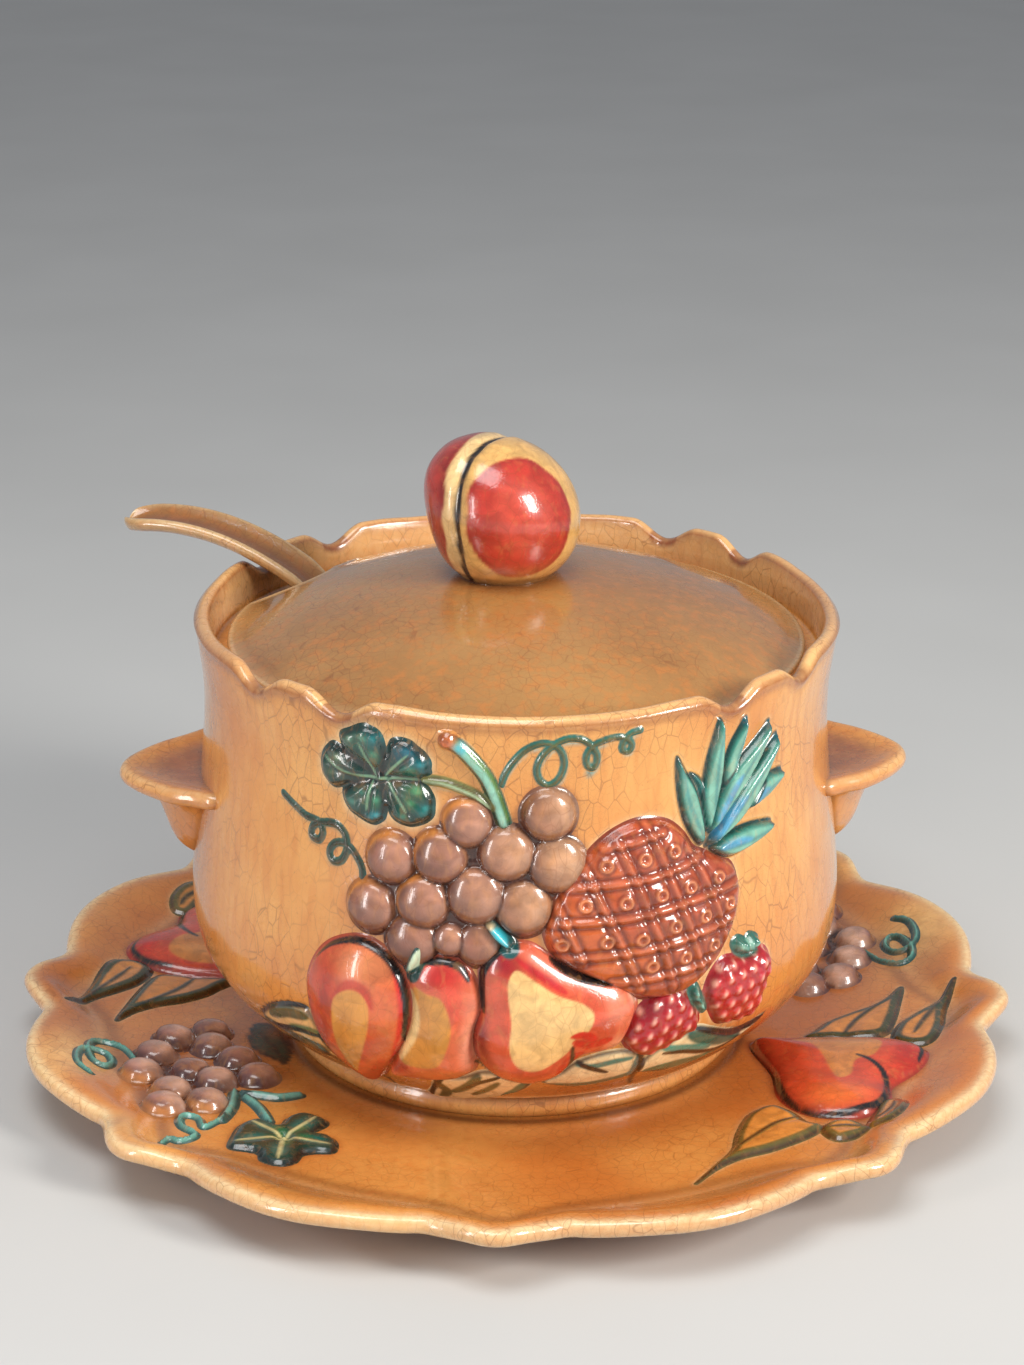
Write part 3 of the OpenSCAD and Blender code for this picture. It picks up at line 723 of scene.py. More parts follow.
APPLE_PATCH = [
    (-43.4, 80), (-38, 79), (-33.4, 78), (-30.8, 73), (-30, 66), (-31.6, 59), (-35, 53), (-42, 51),
    (-49, 51), (-45, 60), (-42.4, 70)]
BERRIES = [
    [(29.4, 60), (31.4, 66), (35.4, 71), (41, 75), (47, 76.4), (52, 75), (55.6, 69.6), (59, 61.6),
     (58, 57.6), (52.6, 55.4), (45.4, 52), (38, 50.4), (33, 53.4)],
    [(61.4, 71), (64, 77.6), (69, 81.8), (74.6, 81.4), (80, 79.8), (86, 81.4), (90.6, 79), (92.6, 73),
     (90, 66), (87.4, 58), (82, 55.2), (74, 55.4), (68, 57), (64, 63)]]
CALYXES = [
    [(54.4, 73.4), (57, 75.4), (58.8, 72.4), (61.6, 65), (60.8, 63.4), (57.6, 67), (55, 69.6)],
    [(73.6, 86), (76.4, 88), (80, 86.4), (82.4, 87.6), (86.4, 85), (85, 81.6), (80, 80.2), (75.6, 82)]]
FOLIAGE = [
    [(-118, 46), (-108, 54), (-98, 59.4), (-88, 61), (-84, 55), (-79, 46), (-74, 38), (-84, 36), (-98, 40),
     (-110, 44)],
    [(-38, 40), (-28, 42), (-20, 46), (-11, 44.4), (-3, 40.4), (-5, 34), (-14, 28), (-28, 24), (-49, 21.4),
     (-44, 30)],
    [(2, 40), (8, 45), (14, 50.6), (24, 53.6), (33, 53), (38, 49), (38, 39), (30, 36.4), (20, 34.8),
     (9, 36.4)],
    [(39, 41), (42, 49), (50, 54), (59, 57.4), (66, 54.8), (74, 51), (84, 48.4), (96, 49.6), (88, 45),
     (80, 40.6), (68, 37), (54, 36), (44, 38)]]


# The brush lines that run over the reliefs and the wall alike: their width and their course
OUTLINES = [
    (1.6, [(-81, 84.4), (-75.4, 89.8), (-68, 93), (-61.4, 93.2), (-53.8, 89.6), (-48.8, 83.4),
           (-46.4, 76), (-46.2, 69), (-47.8, 58)]),
    (2.0, [(-43, 88.6), (-38, 90), (-32, 90.6), (-27, 88.6), (-24.4, 84.4)]),
    (2.4, [(-12.6, 96.4), (-17, 92.8), (-19.6, 88), (-19.9, 82), (-19.2, 73.6)]),
    (2.3, [(3.4, 92.4), (8, 88.6), (13, 85.6), (18, 83.8), (24, 82)]),
    (2.0, [(-22.4, 51.6), (-17, 47), (-10, 43), (-3, 41.8), (3, 43.4), (7.6, 47), (10.6, 53),
           (10.4, 61.6)]),
    (3.0, [(-83.6, 51), (-80, 43.6), (-74, 37.6), (-68, 33)]),
    (1.6, [(-120, 46), (-108, 55), (-96, 60.4), (-86, 61.6)]),
    (2.2, [(-120, 42), (-106, 47), (-94, 50), (-84, 50.4)]),
    (3.0, [(-116, 36), (-100, 39), (-86, 41), (-78, 37)]),
    (1.5, [(-36, 40.6), (-41, 34), (-46, 26), (-50, 21.2)]),
    (1.6, [(-14, 44), (-22, 40), (-30, 34)]),
    (1.8, [(-2.6, 41), (-6, 34.4), (-14, 28.6), (-28, 24.4), (-50, 21.6)]),
    (1.8, [(14, 50.6), (19, 47.4), (26, 44)]),
    (1.8, [(2, 40), (9, 36.6), (20, 34.8), (30, 36.4), (38, 38.4)]),
    (2.6, [(38, 50.6), (39.4, 45), (39, 39), (41, 33), (44, 28)]),
    (2.2, [(59, 57), (68, 53), (77, 49.4), (86, 48.4), (97, 50)]),
    (1.7, [(47, 49), (56, 47.4), (66, 44), (76, 42.4), (84, 45.6)]),
    (2.0, [(40, 39.6), (50, 38), (62, 36)]),
    (1.2, [(-66, 33), (-64, 28), (-67, 21)])]


def draw_outlines(canvas):
    for width, points in OUTLINES:
        canvas.stroke(points, width + 0.5, INK, soft=0.6, taper=0.5)


def paint_leaf(canvas, heights):
    canvas.patch(LEAF_EDGE, LEAF_DARK, grow=1.2)
    for x, y, size, colour in [
            (-60, 168.5, 4.6, (16, 110, 112)), (-65, 168, 4, (52, 104, 84)),
            (-61, 162.5, 4, (44, 100, 76)), (-48, 165.4, 5, (6, 84, 100)),
            (-42.6, 161, 4.4, (10, 98, 104)), (-47, 158.6, 4, (34, 104, 84)),
            (-45, 151, 4.4, (64, 116, 78)), (-41.4, 144.6, 3.6, (14, 104, 100)),
            (-47, 146, 3.4, (46, 104, 70)), (-60, 139.4, 3.0, (30, 130, 138)),
            (-61, 145, 3.6, (44, 108, 78)), (-50, 140.6, 3, (16, 84, 70)),
            (-76, 158.4, 3.6, (74, 96, 70)), (-79, 152.4, 3, (40, 70, 46)),
            (-70, 167, 3.2, (64, 100, 80)), (-70, 143, 3.6, (44, 92, 80)), (-66, 147, 3, (24, 76, 62))]:
        # A brighter touch up and to the right of each dab, a painted highlight
        brighter = [min(c * 1.35 + 14, 255) for c in colour]
        canvas.dab(x, y, size, size * 0.8, colour, 0.85)
        canvas.dab(x + 1.2, y + 0.8, size * 0.4, size * 0.3, brighter, 0.7)
    # Painted shade in the folds that run to the sinuses
    for sinus in LEAF_SINUSES:
        canvas.stroke([LEAF_MIDDLE, sinus], 2.4, (8, 24, 24), soft=2.2, taper=0.2, strength=0.9)
    for vein in LEAF_VEINS:
        # A painted shadow beside each vein, and a pale line along its ridge, partly a painted highlight
        canvas.stroke(moved(vein, 0.9, -0.9), 1.6, (10, 40, 36), soft=1.2, strength=0.8)
        canvas.stroke(vein, 0.95, (132, 178, 140), soft=0.6, strength=0.85)
    fruit_ring(canvas, LEAF_EDGE, (8, 34, 34), 0.75, 1.0)
    canvas.fade_out(heights, 0.7, 0.7)


def leaf_height(sz):
    d = depth_in(sz, LEAF_EDGE)
    h = swell(d, 2.9, 4.2)
    inside = ease(d / 3)
    for sinus in LEAF_SINUSES:
        away, along = line_distance(sz, curve([LEAF_MIDDLE, sinus]))
        h -= inside * 1.7 * bump(away / 2.4) * ease(2.2 * along)
    for vein in LEAF_VEINS:
        away, along = line_distance(sz, curve(vein))
        rib = 0.5 * bump(away / 0.65) - 0.8 * bump(away / 2.0)
        h += inside * rib * (0.45 + 0.55 * ease(3 * along))
    turn = np.arctan2(sz[:, 1] - LEAF_MIDDLE[1], sz[:, 0] - LEAF_MIDDLE[0])
    return h + inside * 0.22 * np.sin(17 * turn) * ease(far_from(sz, LEAF_MIDDLE) / 14)


def tube(sz, line, half_width, height, taper=0.3):
    """Height of a round stem along a line, thinner towards its ends."""
    away, along = line_distance(sz, curve(line))
    half = half_width * (1 - taper * np.abs(2 * along - 1) ** 2)
    return swell(half - away, height, half_width, max(1.6, 1.3 * height / half_width))


def stem_height(sz):
    cane = tube(sz, CANE, 2.9, 2.6, 0.12)
    cut_end = far_from(sz, CANE[0])
    cane = np.maximum(cane, swell(3.3 - cut_end, 2.8, 2.4))
    cane -= 0.9 * bump(cut_end / 1.3)
    return np.maximum(cane, tube(sz, PETIOLE, 1.7, 1.8))


def paint_stems(canvas, heights):
    canvas.stroke(CANE, 6.4, (44, 84, 58), soft=0.6, taper=0)
    canvas.stroke(CANE, 3.0, MINT, soft=1.6, taper=0.2)
    canvas.stroke(moved(CANE, -1.8, -1.2), 1.2, (26, 44, 34), soft=0.7)
    canvas.stroke(moved(CANE, 1.7, 1.0), 0.9, (92, 130, 60), soft=0.7)
    canvas.dab(*CANE[0], 3.6, 3.6, (196, 92, 34), 0.95)
    canvas.dab(CANE[1][0] + 1, CANE[1][1], 2.2, 2.2, (70, 176, 190), 0.85)
    canvas.stroke(PETIOLE, 4.4, (120, 122, 70), soft=0.8, taper=0)
    canvas.stroke(moved(PETIOLE, 0, -0.6), 1.8, (178, 206, 164), soft=1.0)
    canvas.stroke(moved(PETIOLE, 0, 1.0), 0.7, (84, 74, 36), soft=0.5)


def tendril_height(sz):
    return np.maximum.reduce([tube(sz, line, 0.8, 1.1, 0.25) for line in (TENDRIL_RIGHT, TENDRIL_LEFT)])


def paint_tendrils(canvas, heights):
    canvas.stroke(TENDRIL_RIGHT, 3.0, (36, 108, 98), soft=0.6, taper=0)
    canvas.stroke(TENDRIL_RIGHT, 1.1, (86, 92, 52), soft=0.6, taper=0.2)
    canvas.stroke(TENDRIL_LEFT, 3.4, (52, 92, 80), soft=0.6, taper=0)
    canvas.stroke(TENDRIL_LEFT, 1.5, (50, 58, 44), soft=0.7, taper=0.2)


def grape_forms(sz, grapes):
    return np.stack([swell(r - far_from(sz, (x, y)), height, r, 1.9) for x, y, r, height in grapes])


def bunch_height(sz, grapes):
    """The grapes, with clay between those that stand close together."""
    h = grape_forms(sz, grapes).max(0)
    reach = np.sort(np.stack([r - far_from(sz, (x, y)) for x, y, r, _ in grapes]), 0)
    packed = ease((reach[-3] + 6) / 3) * ease((reach[-2] + 3.4) / 2)
    return np.maximum(h, 1.1 * packed - 0.4)


def paint_bunch(canvas, heights, grapes, rim_side, tones, tan_side=0):
    """Each grape brushed in rings: painted shade where it meets the next and round its lower left edge, a
    painted highlight on its upper right, and honey where it catches the light.

    The tones are its painted shade, its own middle tone, its painted highlight and that of its honey rim.
    """
    forms = grape_forms(canvas.xy, grapes)
    order = np.sort(forms, 0)
    owner = forms.argmax(0)
    canvas.rgb[:] = linear(MAUVE_DARK)
    canvas.cover[:] = 0.92
    rng = np.random.default_rng(7)
    dark, base, pale, rim = (linear(c) for c in tones)
    centre = np.mean([g[:2] for g in grapes], axis=0)
    outer = [float((np.array(g[:2]) - centre) @ rim_side > 4) for g in grapes]
    for i, (x, y, r, _) in enumerate(grapes):
        mine = owner == i
        u, v = ((canvas.xy[mine] - (x, y)) / r).T
        far = np.hypot(u, v)
        swirl = 0.5 + 0.5 * np.sin(far * 9 + np.arctan2(v, u) + rng.uniform(0, 6))
        # Painted light: paler towards each grape's upper right
        lit = ease(0.42 + 0.5 * u + 0.35 * v + rng.uniform(-0.2, 0.2))
        tan = ease((x - centre[0] + 6) / 36) * tan_side
        own = base * (1 - tan) + linear(TAN) * tan
        light = pale * (1 - tan) + linear(TAN_PALE) * tan
        tone = own * (1 - lit[:, None]) * rng.uniform(0.78, 1.16) + light * lit[:, None]
        tone = tone * (0.86 + 0.18 * swirl[:, None])
        # Painted shade towards each grape's edge, most on its lower left
        shadow = ease((far - 0.42) / 0.5) * (0.45 + 0.55 * ease(0.4 - 0.5 * u - 0.6 * v))
        tone = tone * (1 - 0.88 * shadow[:, None]) + dark * 0.88 * shadow[:, None]
        glow = ease((far - 0.66) / 0.25) * ease((rim_side[0] * u + rim_side[1] * v) * 1.3) * outer[i]
        tone = tone * (1 - 0.8 * glow[:, None]) + rim * 0.8 * glow[:, None]
        canvas.rgb[mine] = tone
    # Painted shade in the creases between grapes and round their feet
    crease = bump((order[-1] - order[-2]) / 1.15) * (order[-2] > -0.6)
    edge = ease((1.9 - heights) / 1.9)
    canvas.pool = np.clip(0.9 * crease + 0.42 * edge, 0, 0.9)
    canvas.fade_out(heights)


def pineapple_height(sz):
    d = depth_in(sz, PINE_EDGE)
    h = swell(d, 5.2, 7, 1.9) + 3.0 * ease(d / 26)
    inside = ease((d - 1.0) / 4)
    for lines, tall, wide in [(PINE_RIBS, 0.85, 0.85), (PINE_CROSSINGS, 0.65, 0.75)]:
        for line in lines:
            away = distance_to(sz, line)
            h += inside * (tall * bump(away / wide) - 0.7 * bump((away - 2.2) / 0.9))
    for ring in PINE_RINGS:
        far = far_from(sz, ring)
        h += inside * (0.75 * bump((far - 1.9) / 0.55) - 0.5 * bump(far / 1.1))
    return h


def paint_pineapple(canvas, heights):
    canvas.patch(PINE_EDGE, AMBER, grow=2.0)
    for x, y, size, colour in [
            (12, 104, 14, (212, 104, 42)), (20, 122, 12, (204, 96, 44)), (30, 88, 14, (212, 108, 46)),
            (60, 112, 16, (182, 80, 50)), (50, 92, 16, (190, 92, 52)), (72, 100, 9, (202, 94, 40)),
            (44, 130, 10, (196, 94, 58)), (58, 78, 9, (200, 104, 48))]:
        canvas.dab(x, y, size, size * 0.8, colour, 0.7)
    # Painted highlights on the ribs and round each eye, painted shade in the grooves beside them and in each
    # eye's middle
    for line in PINE_RIBS + PINE_CROSSINGS:
        away = distance_to(canvas.xy, line)
        canvas.lay(AMBER_DARK, 0.75 * bump((away - 2.1) / 0.8))
        canvas.lay((204, 112, 76), 0.6 * bump(away / 0.8))
    for ring in PINE_RINGS:
        far = far_from(canvas.xy, ring)
        canvas.lay((226, 146, 98), 0.75 * bump((far - 1.9) / 0.5))
        canvas.lay(AMBER_DARK, 0.6 * bump((far - 3.0) / 0.6))
        canvas.lay(AMBER_DARK, 0.7 * bump(far / 0.9))
    canvas.pool_edge(heights, 0.55, 1.6, 1.8)
    draw_outlines(canvas)


def crown_height(sz):
    h = np.full(len(sz), FAR_BELOW)
    for layer, (edge, middle) in enumerate(CROWN_BLADES):
        d = depth_in(sz, edge)
        blade = swell(d, 2.1 + 0.18 * layer, 2.6)
        blade += ease(d / 1.5) * (0.5 * bump(distance_to(sz, middle) / 1.6) + 0.12 * layer)
        h = np.maximum(h, blade)
    return h


def paint_crown(canvas, heights):
    for layer, (edge, middle) in enumerate(CROWN_BLADES):
        outline = curve(edge, closed=True)
        where = canvas.near(outline, 2.0)
        d = inside_distance(canvas.xy[where], outline)
        inside = ease((d + 0.6) / 0.7)
        canvas.lay((16, 64, 62), inside, where)
        canvas.lay((62, 142, 126), inside * ease((d - 0.5) / 0.9), where)
        canvas.lay(MINT, inside * 0.75 * ease((d - 1.2) / 1.2), where)
        canvas.stroke(moved(middle, 0.7, -0.6), 1.7, (40, 130, 130), soft=1.4, strength=0.7)
        if layer >= FIRST_BLUE_BLADE:
            (x0, y0), (x1, y1) = middle[:2]
            half_way = ((x0 + x1) / 2, (y0 + y1) / 2 + 0.6)
            canvas.stroke([middle[0], half_way, middle[1]], 2.6, SKY, soft=1.8, strength=0.75)
    for x, y in CROWN_TIPS:
        canvas.dab(x, y, 2.0, 1.8, (10, 88, 98), 0.95)
    canvas.dab(64, 126, 4.5, 3.5, (14, 60, 64), 0.8)


def fruit_height(edge, height, width, stem=None):
    """The form of a fruit, with a stem given as its line, half its width and its height."""
    def form(sz):
        d = depth_in(sz, edge)
        h = swell(d, height, width, 1.9) + 1.2 * ease(d / (2 * width))
        return h if stem is None else np.maximum(h, tube(sz, *stem, 0.15))
    return form


def fruit_ring(canvas, edge, ring_colour, strength=0.7, width=3.0):
    """A deeper tone brushed just inside a fruit's outline."""
    canvas.lay(ring_colour, strength * bump((depth_in(canvas.xy, edge) - 0.8) / width))


def paint_peach(canvas, heights):
    canvas.patch(PEACH_EDGE, (204, 78, 42), grow=2.0)
    canvas.dabs([
        (-60, 86, 12, 8, (222, 136, 84), 0.85), (-52, 66, 6, 17, (214, 112, 66), 0.85, 12),
        (-56, 50, 5, 10, (210, 106, 60), 0.7, -30), (-76.5, 62, 4.0, 22, (176, 40, 26), 0.85, -8),
        (-83, 62, 2.6, 17, (184, 60, 36), 0.75, -4)])
    canvas.stroke([(-72, 70), (-66, 78.4), (-60, 78), (-56.8, 72)], 3.4, (188, 52, 34), soft=1.6,
                  strength=0.8)
    canvas.stroke([(-74, 44), (-68, 40), (-62, 42), (-56, 50)], 6, (184, 46, 30), soft=3, strength=0.85)
    canvas.stroke([(-50.4, 86), (-47.4, 78), (-46.6, 70), (-48.4, 60), (-52, 52)], 3.2, (206, 36, 36),
                  soft=1.2, strength=0.9)
    canvas.patch(PEACH_PATCH, (214, 148, 68), soft=1.0)
    canvas.dab(-68, 60, 3, 9, (200, 124, 50), 0.5, turn=-8)
    canvas.pool_edge(heights, 0.4, 1.5, 1.6)
    draw_outlines(canvas)


def paint_apple(canvas, heights):
    canvas.patch(APPLE_EDGE, (224, 112, 76), grow=2.0)
    canvas.dabs([
        (-34, 86, 10, 6, (200, 42, 40), 0.95), (-29, 76, 3.6, 8, (214, 66, 46), 0.8, 12),
        (-24, 60, 3.4, 14, (244, 164, 134), 0.8, -4), (-36, 47, 12, 5, (206, 96, 48), 0.85),
        (-50, 47, 6, 3.4, (172, 50, 28), 0.8)])
    canvas.patch(APPLE_PATCH, (214, 148, 66), soft=1.0)
    canvas.dab(-40, 64, 3.6, 12, (204, 134, 62), 0.5)
    canvas.stroke([(-44.4, 78), (-42.6, 70), (-44, 62), (-49.6, 52)], 3.6, (240, 204, 140), soft=1.4,
                  taper=0.5, strength=0.95)
    canvas.pool_edge(heights, 0.4, 1.2, 1.4)
    draw_outlines(canvas)
    canvas.stroke([(-42, 96), (-43, 91), (-44.8, 85.6)], 8, (18, 66, 62), soft=0.8, taper=0)
    # A pale cream stroke down the stem, partly a painted highlight
    canvas.stroke([(-40.8, 94.4), (-41.8, 91), (-43.4, 88)], 2.8, (206, 224, 190), soft=1.0)


def paint_pear(canvas, heights):
    canvas.patch(PEAR_EDGE, RED_ORANGE, grow=2.0)
    fruit_ring(canvas, PEAR_EDGE, (222, 102, 66), 0.5, 5)
    canvas.dabs([
        (-20.6, 62, 3.2, 14, (124, 14, 18), 0.95, -3), (-18, 54, 3, 8, (150, 28, 22), 0.8, 20),
        (-13, 92, 7, 5, (150, 16, 30), 0.95, -30)])
    canvas.stroke([(-8, 93.6), (0, 87.6), (8, 81.6)], 2.6, (192, 32, 34), soft=1.4)
    canvas.dabs([
        (0, 93, 7, 2.6, (232, 118, 92), 0.85, -30), (26, 74, 4.6, 8, (234, 132, 100), 0.85, 20),
        (26, 60, 4, 4, (238, 158, 118), 0.8), (31.6, 78, 1.6, 5, (252, 222, 190), 0.7, 20),
        (-14, 74, 2, 12, (222, 92, 62), 0.7), (-4, 48, 10, 3, (224, 104, 62), 0.7)])
    canvas.patch(PEAR_PATCH, (236, 192, 124), soft=0.8)
    canvas.stroke([(10, 66), (14, 66.4), (17.4, 64), (15, 60)], 3, (210, 46, 32), soft=0.8)
    canvas.stroke([(11, 63.6), (17, 62), (23, 63.4)], 3.2, (206, 44, 30), soft=0.8, taper=0.4)
    canvas.stroke([(13.6, 58), (9.6, 55), (7, 50.6)], 4.6, (200, 40, 28), soft=1.0, taper=0.4)
    canvas.pool_edge(heights, 0.4, 1.2, 1.4)
    draw_outlines(canvas)
    canvas.stroke([(-17.6, 104.6), (-14.4, 101), (-10.6, 97)], 7, DEEP_TEAL, soft=0.8, taper=0)
    canvas.stroke([(-16.6, 103.6), (-14, 100.6), (-11.8, 98.4)], 3.4, (60, 196, 210), soft=1.4)
    canvas.dab(-17.4, 104.4, 1.6, 1.2, CREAM, 0.8)


def berry_seeds():
    """The strawberries' seeds: rows across each berry, every second one offset."""
    seeds = []
    for (x0, y0), turn, rows, per_row in [((44.4, 63.4), 18, 5, 5), ((77, 68.6), 4, 6, 5)]:
        cos, sin = math.cos(math.radians(turn)), math.sin(math.radians(turn))
        for i in range(rows):
            offset = 1.4 if i % 2 else -1.4
            for k in range(per_row):
                u = (k - (per_row - 1) / 2) * 5.6 + offset
                v = (i - (rows - 1) / 2) * 4.5
                seeds.append((x0 + u * cos - v * sin, y0 + u * sin + v * cos))
    return seeds


SEEDS = berry_seeds()


def berries_height(sz):
    h = np.full(len(sz), FAR_BELOW)
    for edge in BERRIES:
        d = depth_in(sz, edge)
        body = swell(d, 4.4, 6.5, 1.8) + 1.2 * ease(d / 12)
        inside = ease((d - 0.4) / 1.5)
        for seed in SEEDS:
            far = far_from(sz, seed)
            body += inside * (0.34 * bump(far / 1.0) - 0.3 * bump((far - 2.3) / 1.0))
        h = np.maximum(h, body)
    for edge, axis, pitch in zip(CALYXES, (1, 0), (0.8, 1.1)):
        d = depth_in(sz, edge)
        folds = np.abs(np.sin(sz[:, axis] * pitch))
        h = np.maximum(h, swell(d, 3.2, 2.4) + 1.1 * ease(d / 1.2) * (folds - 0.4))
    return h


def paint_berries(canvas, heights):
    for edge, bright in zip(BERRIES, [(196, 28, 40), (214, 44, 46)]):
        canvas.patch(edge, bright, grow=1.8)
        fruit_ring(canvas, edge, (150, 18, 40), 0.65, 1.4)
    canvas.dabs([
        (38, 70, 6, 4, (134, 24, 44), 0.8, 30), (36, 60, 6, 6, (160, 22, 30), 0.6),
        (76, 60, 8, 6, (226, 70, 44), 0.7), (86, 74, 4.6, 5, (206, 40, 70), 0.7)])
    for seed in SEEDS:
        canvas.lay((150, 14, 26), 0.6 * bump((far_from(canvas.xy, seed) - 2.3) / 0.8))
        canvas.dab(*seed, 0.8, 1.35, (252, 190, 166), 0.75, turn=-24)
    for edge in CALYXES:
        canvas.patch(edge, (40, 112, 98), grow=1.0)
    for x, y, turn in [(57, 72, 60), (59.6, 67, -50), (76.4, 84.4, -30), (80.6, 84.6, 80), (84.4, 83.4, 20)]:
        canvas.dab(x, y, 2.0, 1.1, (160, 214, 190), 0.85, turn)
    canvas.pool_edge(heights, 0.4, 0.9, 1.2)
    draw_outlines(canvas)


def foliage_height(sz):
    h = np.full(len(sz), FAR_BELOW)
    for edge in FOLIAGE:
        h = np.maximum(h, swell(depth_in(sz, edge), 1.25, 2.6, 1.1))
    return h


def paint_foliage(canvas, heights):
    for edge in FOLIAGE[1:]:
        canvas.patch(edge, (252, 228, 176), grow=1.2, soft=1.0, strength=0.96)
    canvas.patch(FOLIAGE[0], (232, 184, 118), grow=1.2, soft=1.0, strength=0.92)
    greens = [
        (4.0, (16, 100, 82), [(5, 38.8), (12, 37.4), (20, 37), (30, 38.6), (36, 41)]),
        (2.8, (30, 134, 124), [(14, 49.6), (20, 48.4), (28, 49.6), (34, 50)]),
        (3.6, (12, 116, 116), [(37, 50), (37, 44), (36.4, 39.4)]),
        (5.6, (8, 96, 84), [(57, 55), (64, 51.4), (74, 47.4), (82, 46.6)]),
        (3.8, (60, 150, 132), [(47, 51.4), (57, 48.8), (68, 46)]),
        (5.0, (28, 116, 88), [(43, 40.6), (56, 40.6), (68, 39.6), (78, 42.4)]),
        (4.6, (36, 70, 40), [(-40, 38.6), (-37, 31), (-42, 24)]),
        (4.2, (48, 82, 52), [(-22, 43.6), (-27, 37), (-34, 31)]),
        (4.0, (24, 112, 88), [(-5, 40), (-8, 35), (-13, 30)]),
        (3.2, (60, 88, 54), [(-15, 40), (-20, 34.6), (-26, 30)]),
        (5.4, (52, 62, 34), [(-114, 47), (-100, 44.6), (-84, 44)]),
        (5.0, (70, 78, 48), [(-108, 52), (-98, 56.6), (-88, 58)]),
        (3.6, (98, 116, 70), [(-98, 50), (-90, 51.6), (-84, 52)])]
    for width, colour, points in greens:
        canvas.stroke(points, width, colour, soft=1.3, taper=0.4, strength=0.97)
    for edge in FOLIAGE:
        canvas.lay(INK, 0.85 * bump((depth_in(canvas.xy, edge) - 0.2) / 0.75))
    draw_outlines(canvas)
    canvas.fade_out(heights, 0.9, 0.6)


def paint_wall(canvas):
    """What is brushed on the bare wall round the reliefs."""
    canvas.halo(LEAF_EDGE, 1.9, CREAM, 0.75)
    canvas.halo(PINE_EDGE, 1.6, CREAM, 0.55)
    for edge in BERRIES:
        canvas.halo(edge, 1.5, CREAM, 0.6)
    for edge, _ in CROWN_BLADES:
        canvas.halo(edge, 1.3, (236, 206, 150), 0.45)
    canvas.stroke(moved(TENDRIL_RIGHT, 0.6, -1.5), 1.6, (120, 196, 192), soft=1.4, strength=0.6)
    canvas.stroke(moved(TENDRIL_LEFT, -0.8, -1.3), 1.6, (120, 140, 120), soft=1.4, strength=0.5)
    canvas.stroke([(-40, 153.2), (-32, 152.6), (-25, 149.6)], 1.8, (180, 204, 170), soft=1.6, strength=0.6)
    canvas.dab(17.6, 158.4, 1.6, 1.6, (60, 160, 160), 0.7)
    for x, y, r, _ in GRAPES:
        canvas.lay((176, 96, 40), 0.55 * bump((far_from(canvas.xy, (x, y)) - r - 0.6) / 1.0))
    draw_outlines(canvas)
    canvas.stroke([(-60, 24), (-34, 22.6), (-8, 23.6)], 0.9, (96, 48, 24), soft=0.8, strength=0.7)


# ---- Drawings on the underplate ----

PLATE_GRAPES = [(x, y, 8.4, 5.6) for x, y in [
    (-134, -48), (-103, -48), (-137, -64), (-119, -60), (-94, -61), (-109, -66), (-124, -77),
    (-110, -84), (-125, -90), (-129, -33), (-116, -26), (-114, -38)]]
PLATE_LEAF_AT = (-79, -110)
PLATE_LEAF_EDGE = [
    (-97.5, -111.2), (-97.4, -120), (-91.6, -121.4), (-86.6, -123.3), (-84.8, -128.7), (-78, -131.6),
    (-73.1, -128.2), (-71.4, -122.2), (-66.9, -119.5), (-60.6, -118), (-60, -111), (-63.4, -105.9),
    (-69.6, -103.8), (-64.9, -96.8), (-66.4, -92.4), (-73.6, -89.2), (-79.2, -92.8), (-82.1, -99.7),
    (-89.8, -95.6), (-95.6, -101)]
PLATE_LEAF_TIPS = [(-95.4, -117), (-79, -129), (-62.4, -114.6), (-69, -93.6), (-91.6, -99.4)]
PLATE_LEAF_RIBS = [[PLATE_LEAF_AT, tip] for tip in PLATE_LEAF_TIPS]
PLATE_STEMS = [
    (2.2, [(-76.8, -73.7), (-84.5, -76.4), (-92, -75.2), (-98.3, -74.5)]),
    (2.0, [(-101.2, -73), (-100.8, -86), (-102.8, -98)]),
    (1.8, [(-96.7, -77.1), (-91, -84.6), (-85.6, -96)]),
    (1.15, [(-140.6, -54.1), (-146, -45.4), (-152.8, -41.8), (-158.2, -43.8), (-159, -51), (-155.7, -60.6),
            (-151, -63), (-149, -58), (-151.4, -52), (-156.3, -51), (-160.6, -54.4), (-161.4, -61.4),
            (-159.2, -70), (-154, -75)]),
    (1.15, [(-102.8, -96), (-105.6, -101), (-108.6, -104.8), (-110.8, -98.6), (-115.4, -96.4),
            (-118, -99.6), (-116, -106), (-111, -110.4), (-111.4, -114.4), (-115.6, -117.4),
            (-119.6, -115.4), (-121.6, -119.6)])]
PLATE_PEAR_EDGE = [
    (92, -24), (108, -22), (128, -22), (146, -26), (157, -36), (154, -50), (142, -64), (140, -76),
    (130, -87), (112, -84), (101, -70), (99, -50)]
PLATE_PEAR_PATCH = [
    (107, -30), (114.4, -36), (118, -47), (119.6, -57), (122.2, -65), (127, -62.3), (129.6, -51),
    (137, -46.3), (140.4, -35), (133, -28.4), (118, -27.4)]
